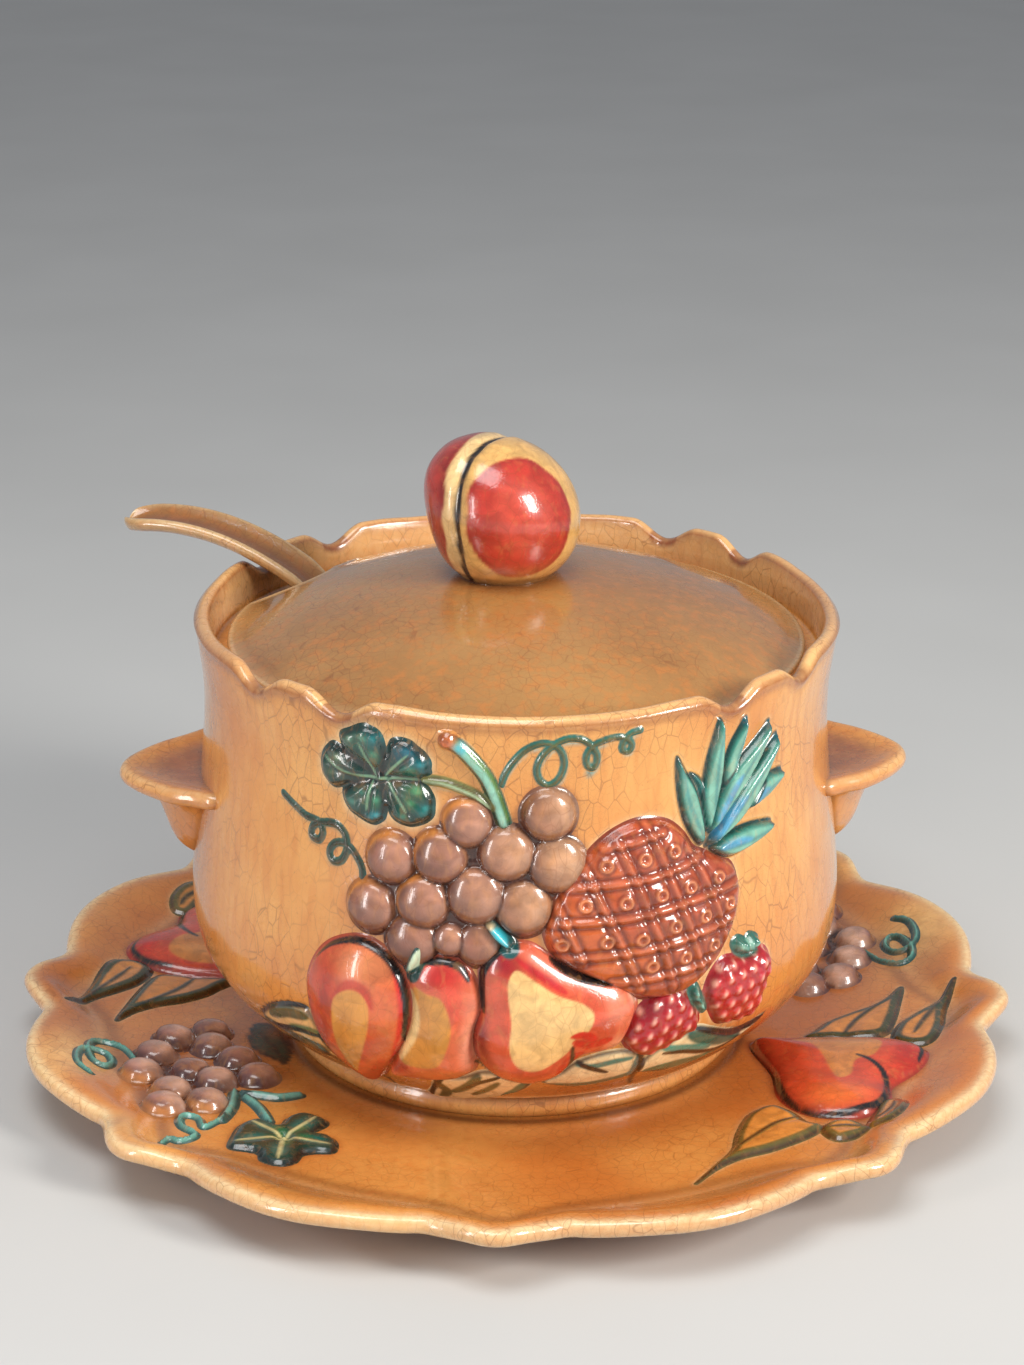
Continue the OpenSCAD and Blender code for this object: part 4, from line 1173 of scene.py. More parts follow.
PLATE_LEAVES = [
    ([(115, -94), (110, -101.6), (96.2, -112), (84.4, -118), (75.6, -126.6), (68.2, -138), (75.7, -123.1),
      (81.8, -110.9), (84, -97.3), (88.7, -83), (96.9, -76), (104.1, -80.4), (109.8, -90)],
     [(106, -88), (98.4, -92), (91, -101), (80, -116)]),
    ([(131, -97), (134, -86), (138, -76), (144.3, -76.4), (146, -84.2), (142.7, -93.6), (137.4, -98.6)],
     [(135, -94), (140, -87), (142, -80)]),
    ([(112, -21), (118, -12), (122, -6.4), (130, 0), (139, 5.6), (147, 13), (153, 21.6), (150.6, 6),
      (147, -10), (142, -20), (126, -21)],
     [(128, -18), (134, -6), (148, 12)]),
    ([(146, -24), (149, -12), (157, -2), (165, 6), (173, 17), (168, 0), (165.4, -16), (161, -28), (153, -30)],
     [(154, -22), (160, -8), (168, 8)]),
    ([(114.4, -96.6), (119, -90.4), (126, -90.6), (131.4, -98.4), (125.4, -104.2), (118.6, -105.4)],
     [(117, -97), (123, -96.6), (128, -98)])]
DARK_PLATE_LEAVES = (2, 3)
# A leaf that is only brushed on, beside the tureen's foot
PAINTED_LEAF = [
    (-101.7, -27.6), (-101.7, -19.6), (-99.9, -14.4), (-93.6, -14.7), (-87.9, -23.7), (-83.1, -36.3),
    (-84.7, -48.5), (-90.5, -44), (-95.5, -40.3), (-99.6, -34.6)]


def plate_vine_height(xy):
    d = depth_in(xy, PLATE_LEAF_EDGE)
    h = swell(d, 2.6, 4)
    for rib in PLATE_LEAF_RIBS:
        away = distance_to(xy, rib)
        h += ease(d / 3) * (0.5 * bump(away / 0.8) - 0.7 * bump(away / 2.6))
    return np.maximum.reduce([h] + [tube(xy, line, half, 2.0) for half, line in PLATE_STEMS])


def paint_plate_vine(canvas, heights):
    for half, line in PLATE_STEMS:
        canvas.stroke(line, 2 * half + 2.4, (34, 76, 72), soft=0.8, taper=0)
        canvas.stroke(moved(line, 0, -0.4), half, (110, 176, 160), soft=1.0, taper=0.2)
    d = depth_in(canvas.xy, PLATE_LEAF_EDGE)
    canvas.lay((10, 54, 44), ease((d + 1.6) / 0.8))
    x0, y0 = PLATE_LEAF_AT
    for x, y in PLATE_LEAF_TIPS:
        across, down = 0.62 * (x - x0), 0.62 * (y - y0)
        turn = math.degrees(math.atan2(down, across))
        canvas.dab(x0 + across, y0 + down, 6, 3.4, (14, 106, 98), 0.85, turn)
        canvas.dab(x0 + 0.5 * across + 2, y0 + 0.5 * down + 1, 4, 2.2, (48, 104, 60), 0.75, turn)
    for rib in PLATE_LEAF_RIBS:
        canvas.stroke(rib, 1.6, (206, 196, 138), soft=0.9, strength=0.9)
    canvas.lay(INK, 0.8 * bump((d - 0.3) / 0.9))
    canvas.fade_out(heights)


def paint_plate_pear(canvas, heights):
    canvas.patch(PLATE_PEAR_EDGE, (212, 74, 40), grow=2.0)
    fruit_ring(canvas, PLATE_PEAR_EDGE, DEEP_RED, 0.6, 3)
    canvas.dabs([
        (150, -42, 6, 16, (186, 36, 24), 0.9, -16), (104, -46, 5, 16, (196, 62, 38), 0.8, 14),
        (122, -76, 12, 8, (226, 112, 54), 0.85)])
    canvas.patch(PLATE_PEAR_PATCH, (212, 136, 58), soft=1.2, strength=0.95)
    canvas.dab(129, -36, 7, 4, (228, 158, 84), 0.7)
    ink = [
        (2.6, [(130.4, -46.5), (135, -50.8), (139.2, -58.3), (140.2, -66.9), (138.6, -75.5), (134, -82),
               (124.7, -86), (114.4, -85.4), (108.2, -81)]),
        (2.4, [(91, -27), (92.6, -35), (97, -47.6), (99.9, -58.3), (102.4, -71), (107, -80)]),
        (1.8, [(93, -25), (104, -23.4), (116, -23)]),
        (2.0, [(138, -25.4), (149, -29), (155.4, -37), (153.4, -48)])]
    for width, points in ink:
        canvas.stroke(points, width, INK, soft=0.8, taper=0.5)
    canvas.pool_edge(heights, 0.4, 1.2, 1.4)


def plate_leaves_height(xy):
    h = np.full(len(xy), FAR_BELOW)
    for edge, middle in PLATE_LEAVES:
        d = depth_in(xy, edge)
        away = distance_to(xy, middle)
        rib = 0.4 * bump(away / 0.9) - 0.5 * bump(away / 2.6)
        h = np.maximum(h, swell(d, 2.2, 4) + ease(d / 2) * rib)
    return h


def paint_plate_leaves(canvas, heights):
    """Honey leaves with a broad green band round them, a dark edge and a dark middle."""
    for i, (edge, middle) in enumerate(PLATE_LEAVES):
        green, band = ((26, 58, 34), 3.6) if i in DARK_PLATE_LEAVES else ((84, 84, 38), 3.2)
        d = depth_in(canvas.xy, edge)
        canvas.lay((216, 140, 60), ease((d + 1.8) / 1.0))
        canvas.lay(green, 0.95 * ease((d + 1.8) / 1.0) * ease((band - d) / 1.2 + 0.5))
        canvas.lay((56, 32, 18), 0.85 * bump((d - 0.3) / 0.8))
        canvas.stroke(middle, 2.6, green, soft=1.4, taper=0.7, strength=0.85)
        canvas.stroke(middle, 1.0, (30, 24, 16), soft=0.7, strength=0.85)
    canvas.fade_out(heights)


# ---- The tureen's bowl ----

# Rows of the bowl's underside and of its inner floor: radius, height above the foot
BOWL_UNDERSIDE = [
    (8, 2.2), (30, 2.2), (55, 2.2), (72.5, 2.1), (74, 1.7), (74.8, 0.8), (75.8, 0.1), (77.4, 0), (83, 0)]
BOWL_FLOOR = [(91, 14.8), (88.2, 13.3), (83, 11.2), (76, 9.5), (67, 8.6), (35, 8.2), (12, 8.1)]
# Rows of the ledge that the lid lies on: radius, height above it
LEDGE = [
    (108, -0.1), (104.6, 0), (103.4, -0.3), (103, -1.2), (103, -3.8), (103.4, -4.8), (105.2, -6),
    (108, -8.6)]
NECK_Z = 164                            # from here up, the rows follow the notched rim
LIP_Z, LIP_TALL = 168, 2.4              # the lip's radius is the wall's at LIP_Z
LIP_TURNS = [20, 40, 60, 80, 100, 120, 140, 160, 178]   # the rows over the lip, in degrees


def bowl_turns():
    """Turns from the front, closer together where the reliefs are."""
    fine = np.arange(-52, 52, 0.5)
    coarse = np.linspace(52, 128, 50, endpoint=False)
    return np.concatenate([fine, coarse, fine + 180, coarse + 180])


def bowl_rows(top):
    """Rows from the foot up the wall, over the rim and down inside: radius, height, on the wall."""
    rows = [(r, FLOOR_Z + z, False) for r, z in BOWL_UNDERSIDE]
    levels = np.concatenate([FLOOR_Z + np.array([0.15, 0.7, 1.5]), np.arange(FLOOR_Z + 2.4, NECK_Z, 1.32)])
    rows += [(wall_radius(z), z, True) for z in levels]
    outer_top = top - LIP_TALL
    for share in np.linspace(0, 1, 7)[1:]:
        z = NECK_Z + (outer_top - NECK_Z) * share
        rows.append((wall_radius(z) + rim_moulding(top - z), z, True))
    rim_r = wall_radius(LIP_Z)
    for a in np.radians(LIP_TURNS):
        rows.append((rim_r + 1.1 - 2.6 * (1 - math.cos(a)) - 0.3, outer_top + LIP_TALL * math.sin(a), True))
    inner = rim_r - 5.0
    for share in np.linspace(0, 1, 6)[1:]:
        rows.append((inner, outer_top + (LEDGE_Z + 1.4 - outer_top) * share, False))
    ledge = [(inner - 0.4, 0.5), (inner - 1.4, 0)] + LEDGE + [(wall_radius(150) - (WALL_T + 0.2), -13)]
    rows += [(r, LEDGE_Z + z, False) for r, z in ledge]
    rows += [(wall_radius(z) - WALL_T, z, False) for z in np.linspace(146, FLOOR_Z + 16, 24)]
    return rows + [(r, FLOOR_Z + z, False) for r, z in BOWL_FLOOR]


def shade_bowl(canvas, z, top, on_outside):
    """Where the bowl's glaze thins and where it pools, and painted shade along the foot where it stands on
    the underplate, by height and by row.
    """
    columns = len(top)
    level = np.append(np.tile(top, len(on_outside)), [NOWHERE, NOWHERE])
    lip = ease((z - level + 3.6) / 1.8)
    under_lip = bump((z - level + 5.4) / 1.2)
    outside = per_point(on_outside, columns, [False, False])
    foot = outside * bump((z - FLOOR_Z - 5) / 2.4)
    crease = outside * bump((z - FLOOR_Z - 8.5) / 1.3)
    # Darker in the groove above the foot and under the lip, and painted shade along the foot's bottom edge
    # where it stands on the underplate
    canvas.pool = np.clip(canvas.pool + 0.75 * crease + 0.16 * under_lip * outside
                          + 0.5 * outside * bump((z - FLOOR_Z) / 1.1), 0, 0.8)
    row_of = per_point(np.arange(len(on_outside)), columns, [0, 0])
    first_lip = int(np.flatnonzero(on_outside)[-1]) + 1 - len(LIP_TURNS)
    # A brown line under the lip, and one where it turns inwards
    for lip_row, spread in [(first_lip - 1, 1.4), (first_lip + 7, 1.6)]:
        canvas.lay((150, 74, 26), 0.62 * bump((row_of - lip_row) / spread))
    notch = np.append(np.tile(top < RIM_Z - 4.4, len(on_outside)), [False, False])
    canvas.lay((132, 62, 24), 0.6 * notch * lip)
    inner_face = ease((row_of - first_lip - 7) / 2) * (row_of <= first_lip + 12)
    return np.clip(0.36 * lip + 0.12 * foot + 0.42 * inner_face, 0, 1)


def build_bowl():
    turns = bowl_turns()
    top = rim_height(turns)
    rows = bowl_rows(top)
    radii, heights = grid_of(rows, len(turns))
    on_outside = np.array([row[2] for row in rows])
    points, faces = turned_body(radii, heights, np.radians(turns - 90))
    points = wall_drift(points)

    side = (turns + 90) % 180 - 90
    sz = np.stack([np.broadcast_to(np.radians(side) * WRAP_R, radii.shape), heights], -1)
    sz = np.where(on_outside[:, None, None], sz, NOWHERE).reshape(-1, 2)
    canvas = Canvas(np.vstack([sz, [[NOWHERE, NOWHERE]] * 2]))
    paint_wall(canvas)
    thin_glaze_and_highlight = shade_bowl(canvas, points[:, 2], top, on_outside)
    bowl = new_piece("tureen_bowl", points, faces, canvas, thin_glaze_and_highlight)
    finish_piece(bowl, "tureen", "honey_glaze", "tureen_body")


# ---- Handles ----

# The right handle's shelf seen from above, from its root at the back round to the one in front
LUG_EDGE = [
    (104, 37.6), (110, 36.4), (115, 34.8), (121, 31.6), (128, 26.6), (135, 21.4), (142, 14), (147.6, 5.6),
    (149.4, -2), (147.6, -9.6), (142.4, -18), (136, -25), (129, -31), (121, -34.6), (113, -36.8),
    (104, -38.4)]
# Rows from the middle of the shelf's top over its rim and down the corbel: share of the way from
# the shelf's middle to its edge, distance below its top
LUG_ROWS = [
    (0.06, 2.7), (0.2, 2.6), (0.35, 2.4), (0.5, 2.1), (0.62, 1.7), (0.72, 1.1), (0.8, 0.4), (0.86, 0.1),
    (0.91, 0.0), (0.955, 0.4), (0.985, 1.4), (1.0, 2.9), (0.995, 4.2), (0.97, 5.6), (0.91, 6.6), (0.82, 7.4),
    (0.72, 8.6), (0.63, 10.6), (0.57, 13.4), (0.52, 17.0), (0.47, 21.6), (0.42, 26.4), (0.35, 30.8),
    (0.26, 34.2), (0.16, 36.4), (0.06, 37.4)]
LUG_TOP_ROWS = 33                       # of the smoothed rows, those down to the shelf's edge
LUG_MIDDLE = np.array([118.0, -0.6])


def build_lug(name, side, node):
    edge = curve(LUG_EDGE)
    back = np.linspace(edge[-1], edge[0], 24)[1:-1]
    outline = np.vstack([edge, back])
    rows = curve([(100 * share, drop) for share, drop in LUG_ROWS], 3)
    grid = []
    for share, drop in rows:
        level = LUG_Z - 0.2 - drop
        flat = LUG_MIDDLE + share / 100 * (outline - LUG_MIDDLE)
        spread = 1 + 0.05 * bump((np.hypot(*flat.T) - 120) / 4)
        flat = np.column_stack([flat[:, 0], flat[:, 1] * spread])
        far = np.hypot(*flat.T)
        flat *= (np.maximum(far, wall_radius(level) - 3) / far)[:, None]
        tilt = 0.02 * (flat[:, 0] - LUG_MIDDLE[0])
        grid.append(np.column_stack([flat, level - np.maximum(tilt, 0)]))
    points, faces = closed_grid(np.array(grid))
    points += (0.25 * unevenness(points, 30, 11))[:, None] * (0, 0, 1)
    if side < 0:
        points = points * (-1, 1, 1)
        faces = flipped(faces)
    share = per_point(rows[:, 0] / 100, len(outline), [0, 0])
    on_top = per_point(np.arange(len(rows)) < LUG_TOP_ROWS, len(outline), [True, False])
    canvas = Canvas(points[:, :2].copy())
    # Painted shade: darker brown over the middle of the shelf's dished top
    canvas.lay((140, 68, 28), on_top * 0.7 * ease((0.9 - share) / 0.5))
    canvas.lay((196, 116, 56), ~on_top * 0.35)
    canvas.pool = 0.35 * bump((np.hypot(*points[:, :2].T) - wall_radius(points[:, 2])) / 1.4)
    # A painted highlight along the shelf's rim
    thin_glaze_and_highlight = np.where(on_top | (share > 0.9), 0.4 * bump((share - 0.955) / 0.05), 0)
    finish_piece(new_piece(name, points, faces, canvas, thin_glaze_and_highlight), "tureen", "honey_glaze", node)


# ---- The underplate ----

# Rows of the underplate's foot ring and of the flat inside it: radius, height
PLATE_UNDERSIDE = [
    (114.6, 5), (114, 3.6), (114, 1), (113.4, 0.2), (112, 0), (108, 0), (106.6, 0.2), (106, 1), (106, 3.8),
    (105, 5), (80, 5.1), (40, 5.1), (10, 5.1)]


def plate_rows(angles):
    """Rows from the middle over the rim and back underneath, and how many of them are glazed on top."""
    inner = plate_edge(angles) - 4
    rows = [(r, plate_top(r, angles)) for r in np.concatenate([[6, 30, 60, 72], np.arange(76, 153, 1.6)])]
    for share in np.linspace(0, 1, 34)[1:]:
        radius = PLATE_RIM_R + (inner - PLATE_RIM_R) * share
        rows.append((radius, plate_top(radius, angles)))
    crest = plate_top(inner, angles)
    for a in np.radians([15, 32, 50, 70, 90, 112, 134, 156, 176]):
        rows.append((inner + 4 * math.sin(a), crest - 2.9 * (1 - math.cos(a)) + 0.5 * math.sin(2 * a)))
    upper = len(rows) + 4
    for share in np.linspace(0, 1, 22)[1:]:
        radius = inner + (PLATE_UNDER_R - inner) * share
        rows.append((radius, plate_top(radius, angles) - 5.8))
    return rows + PLATE_UNDERSIDE, upper


def paint_plate(canvas):
    """What is brushed on the plate itself, round each group and its twin half a turn away, with a painted
    shadow round each grape.
    """
    for sign in (1, -1):
        def here(points):
            return [(sign * x, sign * y) for x, y in points]

        # A painted shadow round each grape
        for x, y, r, _ in PLATE_GRAPES:
            canvas.dab(sign * x, sign * y, r + 3.4, r + 3.4, (150, 74, 34), 0.5)
        for edge, _ in PLATE_LEAVES:
            canvas.halo(here(edge), 1.4, CREAM, 0.4)
        canvas.halo(here(PLATE_LEAF_EDGE), 1.6, (180, 84, 30), 0.6)
        canvas.patch(here(PAINTED_LEAF), (10, 34, 28), soft=1.0, strength=0.95)
        canvas.patch(here(PAINTED_LEAF), (36, 84, 66), soft=1.6, strength=0.9, grow=-2.2)
        canvas.dabs([
            (sign * -92, sign * -22, 4.5, 6, (128, 88, 44), 0.8, 25),
            (sign * -163, sign * -62, 15, 24, (250, 208, 134), 0.5, -10),
            (sign * -128, sign * -124, 20, 9, (246, 198, 120), 0.4, -45)])
        canvas.stroke(here([(-98, -22), (-91, -34), (-86, -46)]), 1.6, (12, 30, 24), soft=0.9, strength=0.9)
        canvas.halo(here(PLATE_PEAR_EDGE), 2.2, (130, 52, 22), 0.6)


def build_plate():
    angles = np.radians(np.arange(0, 360, 0.6))
    rows, upper_rows = plate_rows(angles)
    radii, heights = grid_of(rows, len(angles))
    local = np.broadcast_to(angles, radii.shape)
    points, faces = turned_body(radii, heights, local + PLATE_TURN)

    flat = np.stack([radii * np.cos(local), radii * np.sin(local)], -1).reshape(-1, 2)
    upper = per_point(np.arange(len(rows)) < upper_rows, len(angles), [True, False])
    flat = np.where(upper[:, None], np.vstack([flat, [[0, 0]] * 2]), NOWHERE)
    canvas = Canvas(flat)
    paint_plate(canvas)
    far = np.append(radii.ravel(), [0, 0])
    turn = np.append(local.ravel(), [0, 0])
    well, rim = plate_well(turn), plate_edge(turn)
    # A painted highlight along the rim's crest, and a little paler just outside the well
    thin_glaze_and_highlight = upper * (0.9 * bump((far - rim + 2.2) / 2.6) + 0.18 * bump((far - well - 3) / 3))
    # Glaze pooled where the floor turns up into the rim, and a painted shadow round the tureen's foot
    canvas.pool = upper * (0.42 * bump((far - well + 2) / 3.5) + 0.85 * bump((far - FOOT_R) / 2.6))
    plate = new_piece("scalloped_underplate", plate_drift(points), flipped(faces), canvas,
                      np.clip(thin_glaze_and_highlight, 0, 1))
    finish_piece(plate, "underplate", "plate_glaze", "underplate")


# ---- The lid and its knob ----

DOME_RISE = 26                          # the dome's middle above its edge
DOME_R = (LID_R ** 2 + DOME_RISE ** 2) / (2 * DOME_RISE)
DOME_Z = LID_TOP_Z - DOME_R
LID_T = 6                               # the lid's thickness
# Rows of the lid's rolled edge, above and below: distance out, and down or up
LID_EDGE_TOP = [(0, 0), (0.9, 0.05), (1.6, 0.2), (2.1, 0.5), (2.4, 1.0), (2.4, 1.8)]
LID_EDGE_UNDER = [(2.4, 1.6), (2.3, 0.8), (1.9, 0.3), (1.2, 0.05), (0.2, 0.0)]
KNOB_PLACE = (-4.0, 0.0, 0.0)
NOTCH_CORNERS = [(137, 106), (148, 104)]    # turn in degrees from +X, distance from the middle
NOTCH_R = 20


def dome_height(r, depth=0.0):
    return DOME_Z + np.sqrt((DOME_R - depth) ** 2 - np.square(r))


def lid_outline(angles):
    """Radius of the lid's edge, with the notch that the ladle passes through."""
    edge = np.full(len(angles), float(LID_R) - 0.3)
    for turn, distance in NOTCH_CORNERS:
        off = angles - math.radians(turn)
        across = distance * np.sin(off)
        inside = (np.abs(across) < NOTCH_R) & (np.cos(off) > 0)
        reach = distance * np.cos(off) - np.sqrt(np.clip(NOTCH_R ** 2 - across ** 2, 0, None))
        edge = np.where(inside, np.minimum(edge, reach), edge)
    return edge


def build_lid():
    turns = np.concatenate([np.arange(0, 120, 1.2), np.arange(120, 165, 0.4), np.arange(165, 360, 1.2)])
    angles = np.radians(turns)
    edge = lid_outline(angles)
    rows = [(edge * share, dome_height(edge * share)) for share in np.linspace(0.03, 0.94, 40)]
    rim = edge - 2.4
    upper = dome_height(rim)
    for across, down in LID_EDGE_TOP:
        rows.append((rim + across, upper - down))
    upper_rows = len(rows)
    lower = np.maximum(dome_height(rim, LID_T), LEDGE_Z)
    for across, up in LID_EDGE_UNDER:
        rows.append((rim + across, lower + up))
    for share in np.linspace(0.955, 0.03, 34):
        rows.append((edge * share, np.maximum(dome_height(edge * share, LID_T), LEDGE_Z)))
    radii, heights = grid_of(rows, len(angles))
    points, faces = turned_body(radii, heights, angles)
    canvas = Canvas(points[:, :2].copy())
    upper = per_point(np.arange(len(rows)) < upper_rows, len(angles), [True, False])
    share = np.append((radii / edge).ravel(), [0, 0])
    from_knob = far_from(points[:, :2], KNOB_PLACE[:2])
    canvas.lay((150, 92, 48), upper * 0.3 * ease((0.8 - share) / 0.6))
    canvas.lay((126, 70, 34), upper * 0.5 * bump((from_knob - 20) / 5))
    canvas.pool = upper * 0.7 * bump((from_knob - 17) / 1.6)
    canvas.pool += 0.25 * upper * bump((share - 0.955) / 0.012)
    # A painted highlight along the lid's edge
    thin_glaze_and_highlight = upper * 0.45 * bump((share - 0.99) / 0.012)
    lid = new_piece("domed_lid", points, flipped(faces), canvas, thin_glaze_and_highlight)
    finish_piece(lid, "lid", "lid_glaze", "lid")


# The knob's outline: radius, height above its top
KNOB_PROFILE = [
    (0.6, 0.0), (6, -0.35), (11, -1.5), (19, -5.8), (25.4, -13.3), (28.4, -22.5), (28.2, -32.6),
    (25.6, -41.6), (21.8, -47.6), (18.2, -51.2), (17.4, -55), (10, -57.4), (2, -57.6)]
KNOB_FOOT_Z, KNOB_MIDDLE_Z = 192.4, 220
SEAM_FACING = (0.82, -0.57, 0)          # from the seam towards the fruit on the right
# That fruit's red cheeks: the direction each lies in, and its spread in degrees
CHEEKS = [((5.0, -26, 2.4), 47), ((-2, 26, 2), 44)]


def knob_form():
    """The knob's points and faces, and each point's distance from the seam between its two fruits."""
    profile = curve(KNOB_PROFILE, 9)
    angles = np.radians(np.arange(0, 360, 2.5))
    radii, heights = grid_of([(r, KNOB_TOP_Z + z) for r, z in profile], len(angles))
    points, faces = turned_body(radii, heights, angles)
    high = ease((points[:, 2] - 204) / 24)
    points[:, 2] -= 0.1 * points[:, 0] * high
    points[:, 0] -= 0.1 * np.maximum(points[:, 2] - 205, 0)
    seam = points @ SEAM_FACING + 4.2
    lobes = ease((points[:, 2] - 193) / 14)
    out = points * (1, 1, 0)
    away = np.linalg.norm(out, axis=1, keepdims=True)
    groove = 1.5 * bump(seam / 2.3) + 0.5 * bump(seam / 6)
    points -= out / np.maximum(away, 6) * (groove * lobes)[:, None]
    points[:, 2] -= 1.6 * bump(seam / 2.2) * ease((points[:, 2] - 238) / 6)
    points[:, :2] *= (1 + 0.012 * unevenness(points, 34, 17))[:, None]
    return points, flipped(faces), seam


def build_knob():
    points, faces, seam = knob_form()
    z = points[:, 2]
    canvas = Canvas(points[:, :2].copy())
    across = seam + 0.9 * unevenness(points, 14, 8)
    facing = points - (0, 0, KNOB_MIDDLE_Z)
    facing /= np.linalg.norm(facing, axis=1, keepdims=True)
    canvas.lay((228, 178, 104), 0.92 * ease(across / 2 + 0.5))
    canvas.lay((238, 200, 138), 0.95 * ease(-across / 2 + 0.5))
    canvas.lay((176, 34, 30), 0.97 * ease((-across - 5.4) / 1.2))
    # Lighter red where the fruit faces upwards, a painted highlight
    canvas.lay((206, 62, 46), 0.6 * ease((-across - 12) / 6) * ease(facing[:, 2] * 1.4 + 0.2))
    canvas.lay((124, 14, 18), 0.55 * bump((across + 7.4) / 1.4))
    for direction, spread in CHEEKS:
        direction = np.array(direction) / np.linalg.norm(direction)
        off = facing * (1, 1, 0.88)
        off = off / np.linalg.norm(off, axis=1, keepdims=True)
        turn = np.degrees(np.arccos(np.clip(off @ direction, -1, 1))) + 3 * unevenness(points, 16, 4)
        patch = ease((spread - turn) / 3) * ease((across - 4.2) / 1.2)
        canvas.lay((184, 42, 34), 0.97 * patch)
        canvas.lay((206, 80, 60), 0.7 * ease((spread * 0.7 - turn) / 16) * patch)
        canvas.lay((150, 24, 26), 0.55 * patch * bump((turn - spread + 4) / 2.6))
    canvas.lay((198, 128, 66), 0.5 * ease((206 - z) / 10))
    canvas.lay((12, 12, 18), 0.99 * ease((1.75 - np.abs(seam - 0.2)) / 0.6) * ease((z - 189) / 3))
    canvas.pool = 0.75 * bump((z - KNOB_FOOT_Z) / 1.6) + 0.3 * ease((198 - z) / 5)
    knob = new_piece("fruit_knob", points + KNOB_PLACE, faces, canvas)
    finish_piece(knob, "lid", "fruit_glaze", "lid_knob")


# ---- The ladle ----

# The ladle is worked out along +X, from the lid's notch outwards, and then put in its place
LADLE_PLACE = Matrix.Translation((-80, 53.6, 0)) @ Matrix.Rotation(math.radians(160), 4, "Z")
SHAFT_START, SHAFT_END, SHAFT_HALF, SHAFT_T = -52, 72, 12.5, 7
SHAFT_LEVEL, SHAFT_RISE = 179.1, 0.622      # the height and slope of its top at the notch
BEND_BELOW, BEND_ABOVE = 0.0358, 0.0058     # how fast it curves below the notch and above it
# The channel's section: share of the half width across, share of the thickness down
CHANNEL = [
    (-1, 0.24), (-0.93, 0.05), (-0.8, 0.0), (-0.66, 0.14), (-0.46, 0.38), (-0.2, 0.51), (0, 0.54),
    (0.2, 0.51), (0.46, 0.38), (0.66, 0.14), (0.8, 0.0), (0.93, 0.05), (1, 0.24), (0.94, 0.5),
    (0.76, 0.74), (0.5, 0.9), (0, 1), (-0.5, 0.9), (-0.76, 0.74), (-0.94, 0.5)]
CUP_MIDDLE = np.array([-78, 0, FLOOR_Z + 41.5])
CUP_R, CUP_T, CUP_OPEN = 32, 4, 7           # the cup opens 7 above its middle


def placed_ladle(points):
    turn = np.array(LADLE_PLACE.to_3x3())
    return points @ turn.T + np.array(LADLE_PLACE.translation)


def shaft_ring(u, section):
    """The shaft's section at one place along it."""
    bend = BEND_BELOW if u < 0 else BEND_ABOVE
    top = SHAFT_LEVEL + SHAFT_RISE * u - bend * u * u
    slope = math.atan(SHAFT_RISE - 2 * bend * u)
    tip = max(u - SHAFT_END + 12, 0) / 12.3
    half = SHAFT_HALF * (1 + 0.004 * min(u, 0)) * math.sqrt(max(0.03, 1 - tip ** 2))
    end = max(u - SHAFT_END + 2.8, 0) / 3
    flat = math.sqrt(max(0.12, 1 - end ** 2))
    down = (0.5 + (section[:, 1] - 0.5) * flat) * SHAFT_T
    return np.column_stack([u + down * math.sin(slope), section[:, 0] * half, top - down * math.cos(slope)])


def build_shaft():
    section = curve(CHANNEL, 3, closed=True)
    stations = np.concatenate([np.linspace(SHAFT_START, 58, 104), np.linspace(58, SHAFT_END, 40)[1:]])
    points, faces = closed_grid(np.array([shaft_ring(u, section) for u in stations]))
    off = points - CUP_MIDDLE
    far = np.linalg.norm(off, axis=1, keepdims=True)
    points = CUP_MIDDLE + off * np.maximum(far, CUP_R - 2) / far
    across = np.append(np.tile(section[:, 0], len(stations)), [0, 0])
    down = np.append(np.tile(section[:, 1], len(stations)), [0.5, 0.5])
    along = per_point(stations, len(section), [SHAFT_START, SHAFT_END])
    canvas = Canvas(np.column_stack([along, across * SHAFT_HALF]))
    upper = ease((0.7 - down) / 0.2)
    canvas.lay((134, 70, 28), 0.7 * upper * bump(across / 0.55))
    canvas.pool = 0.25 * upper * bump(across / 0.3)
    # A painted highlight along the channel's lips, and paler glaze over the handle's end
    lips = upper * bump((np.abs(across) - 0.86) / 0.14)
    thin_glaze_and_highlight = np.clip(0.6 * lips + 0.4 * ease((along - SHAFT_END + 4) / 3) * (down < 0.8), 0, 1)
    shaft = new_piece("ladle_shaft", placed_ladle(points), faces, canvas, thin_glaze_and_highlight)
    finish_piece(shaft, "ladle", "lid_glaze", "ladle_handle")


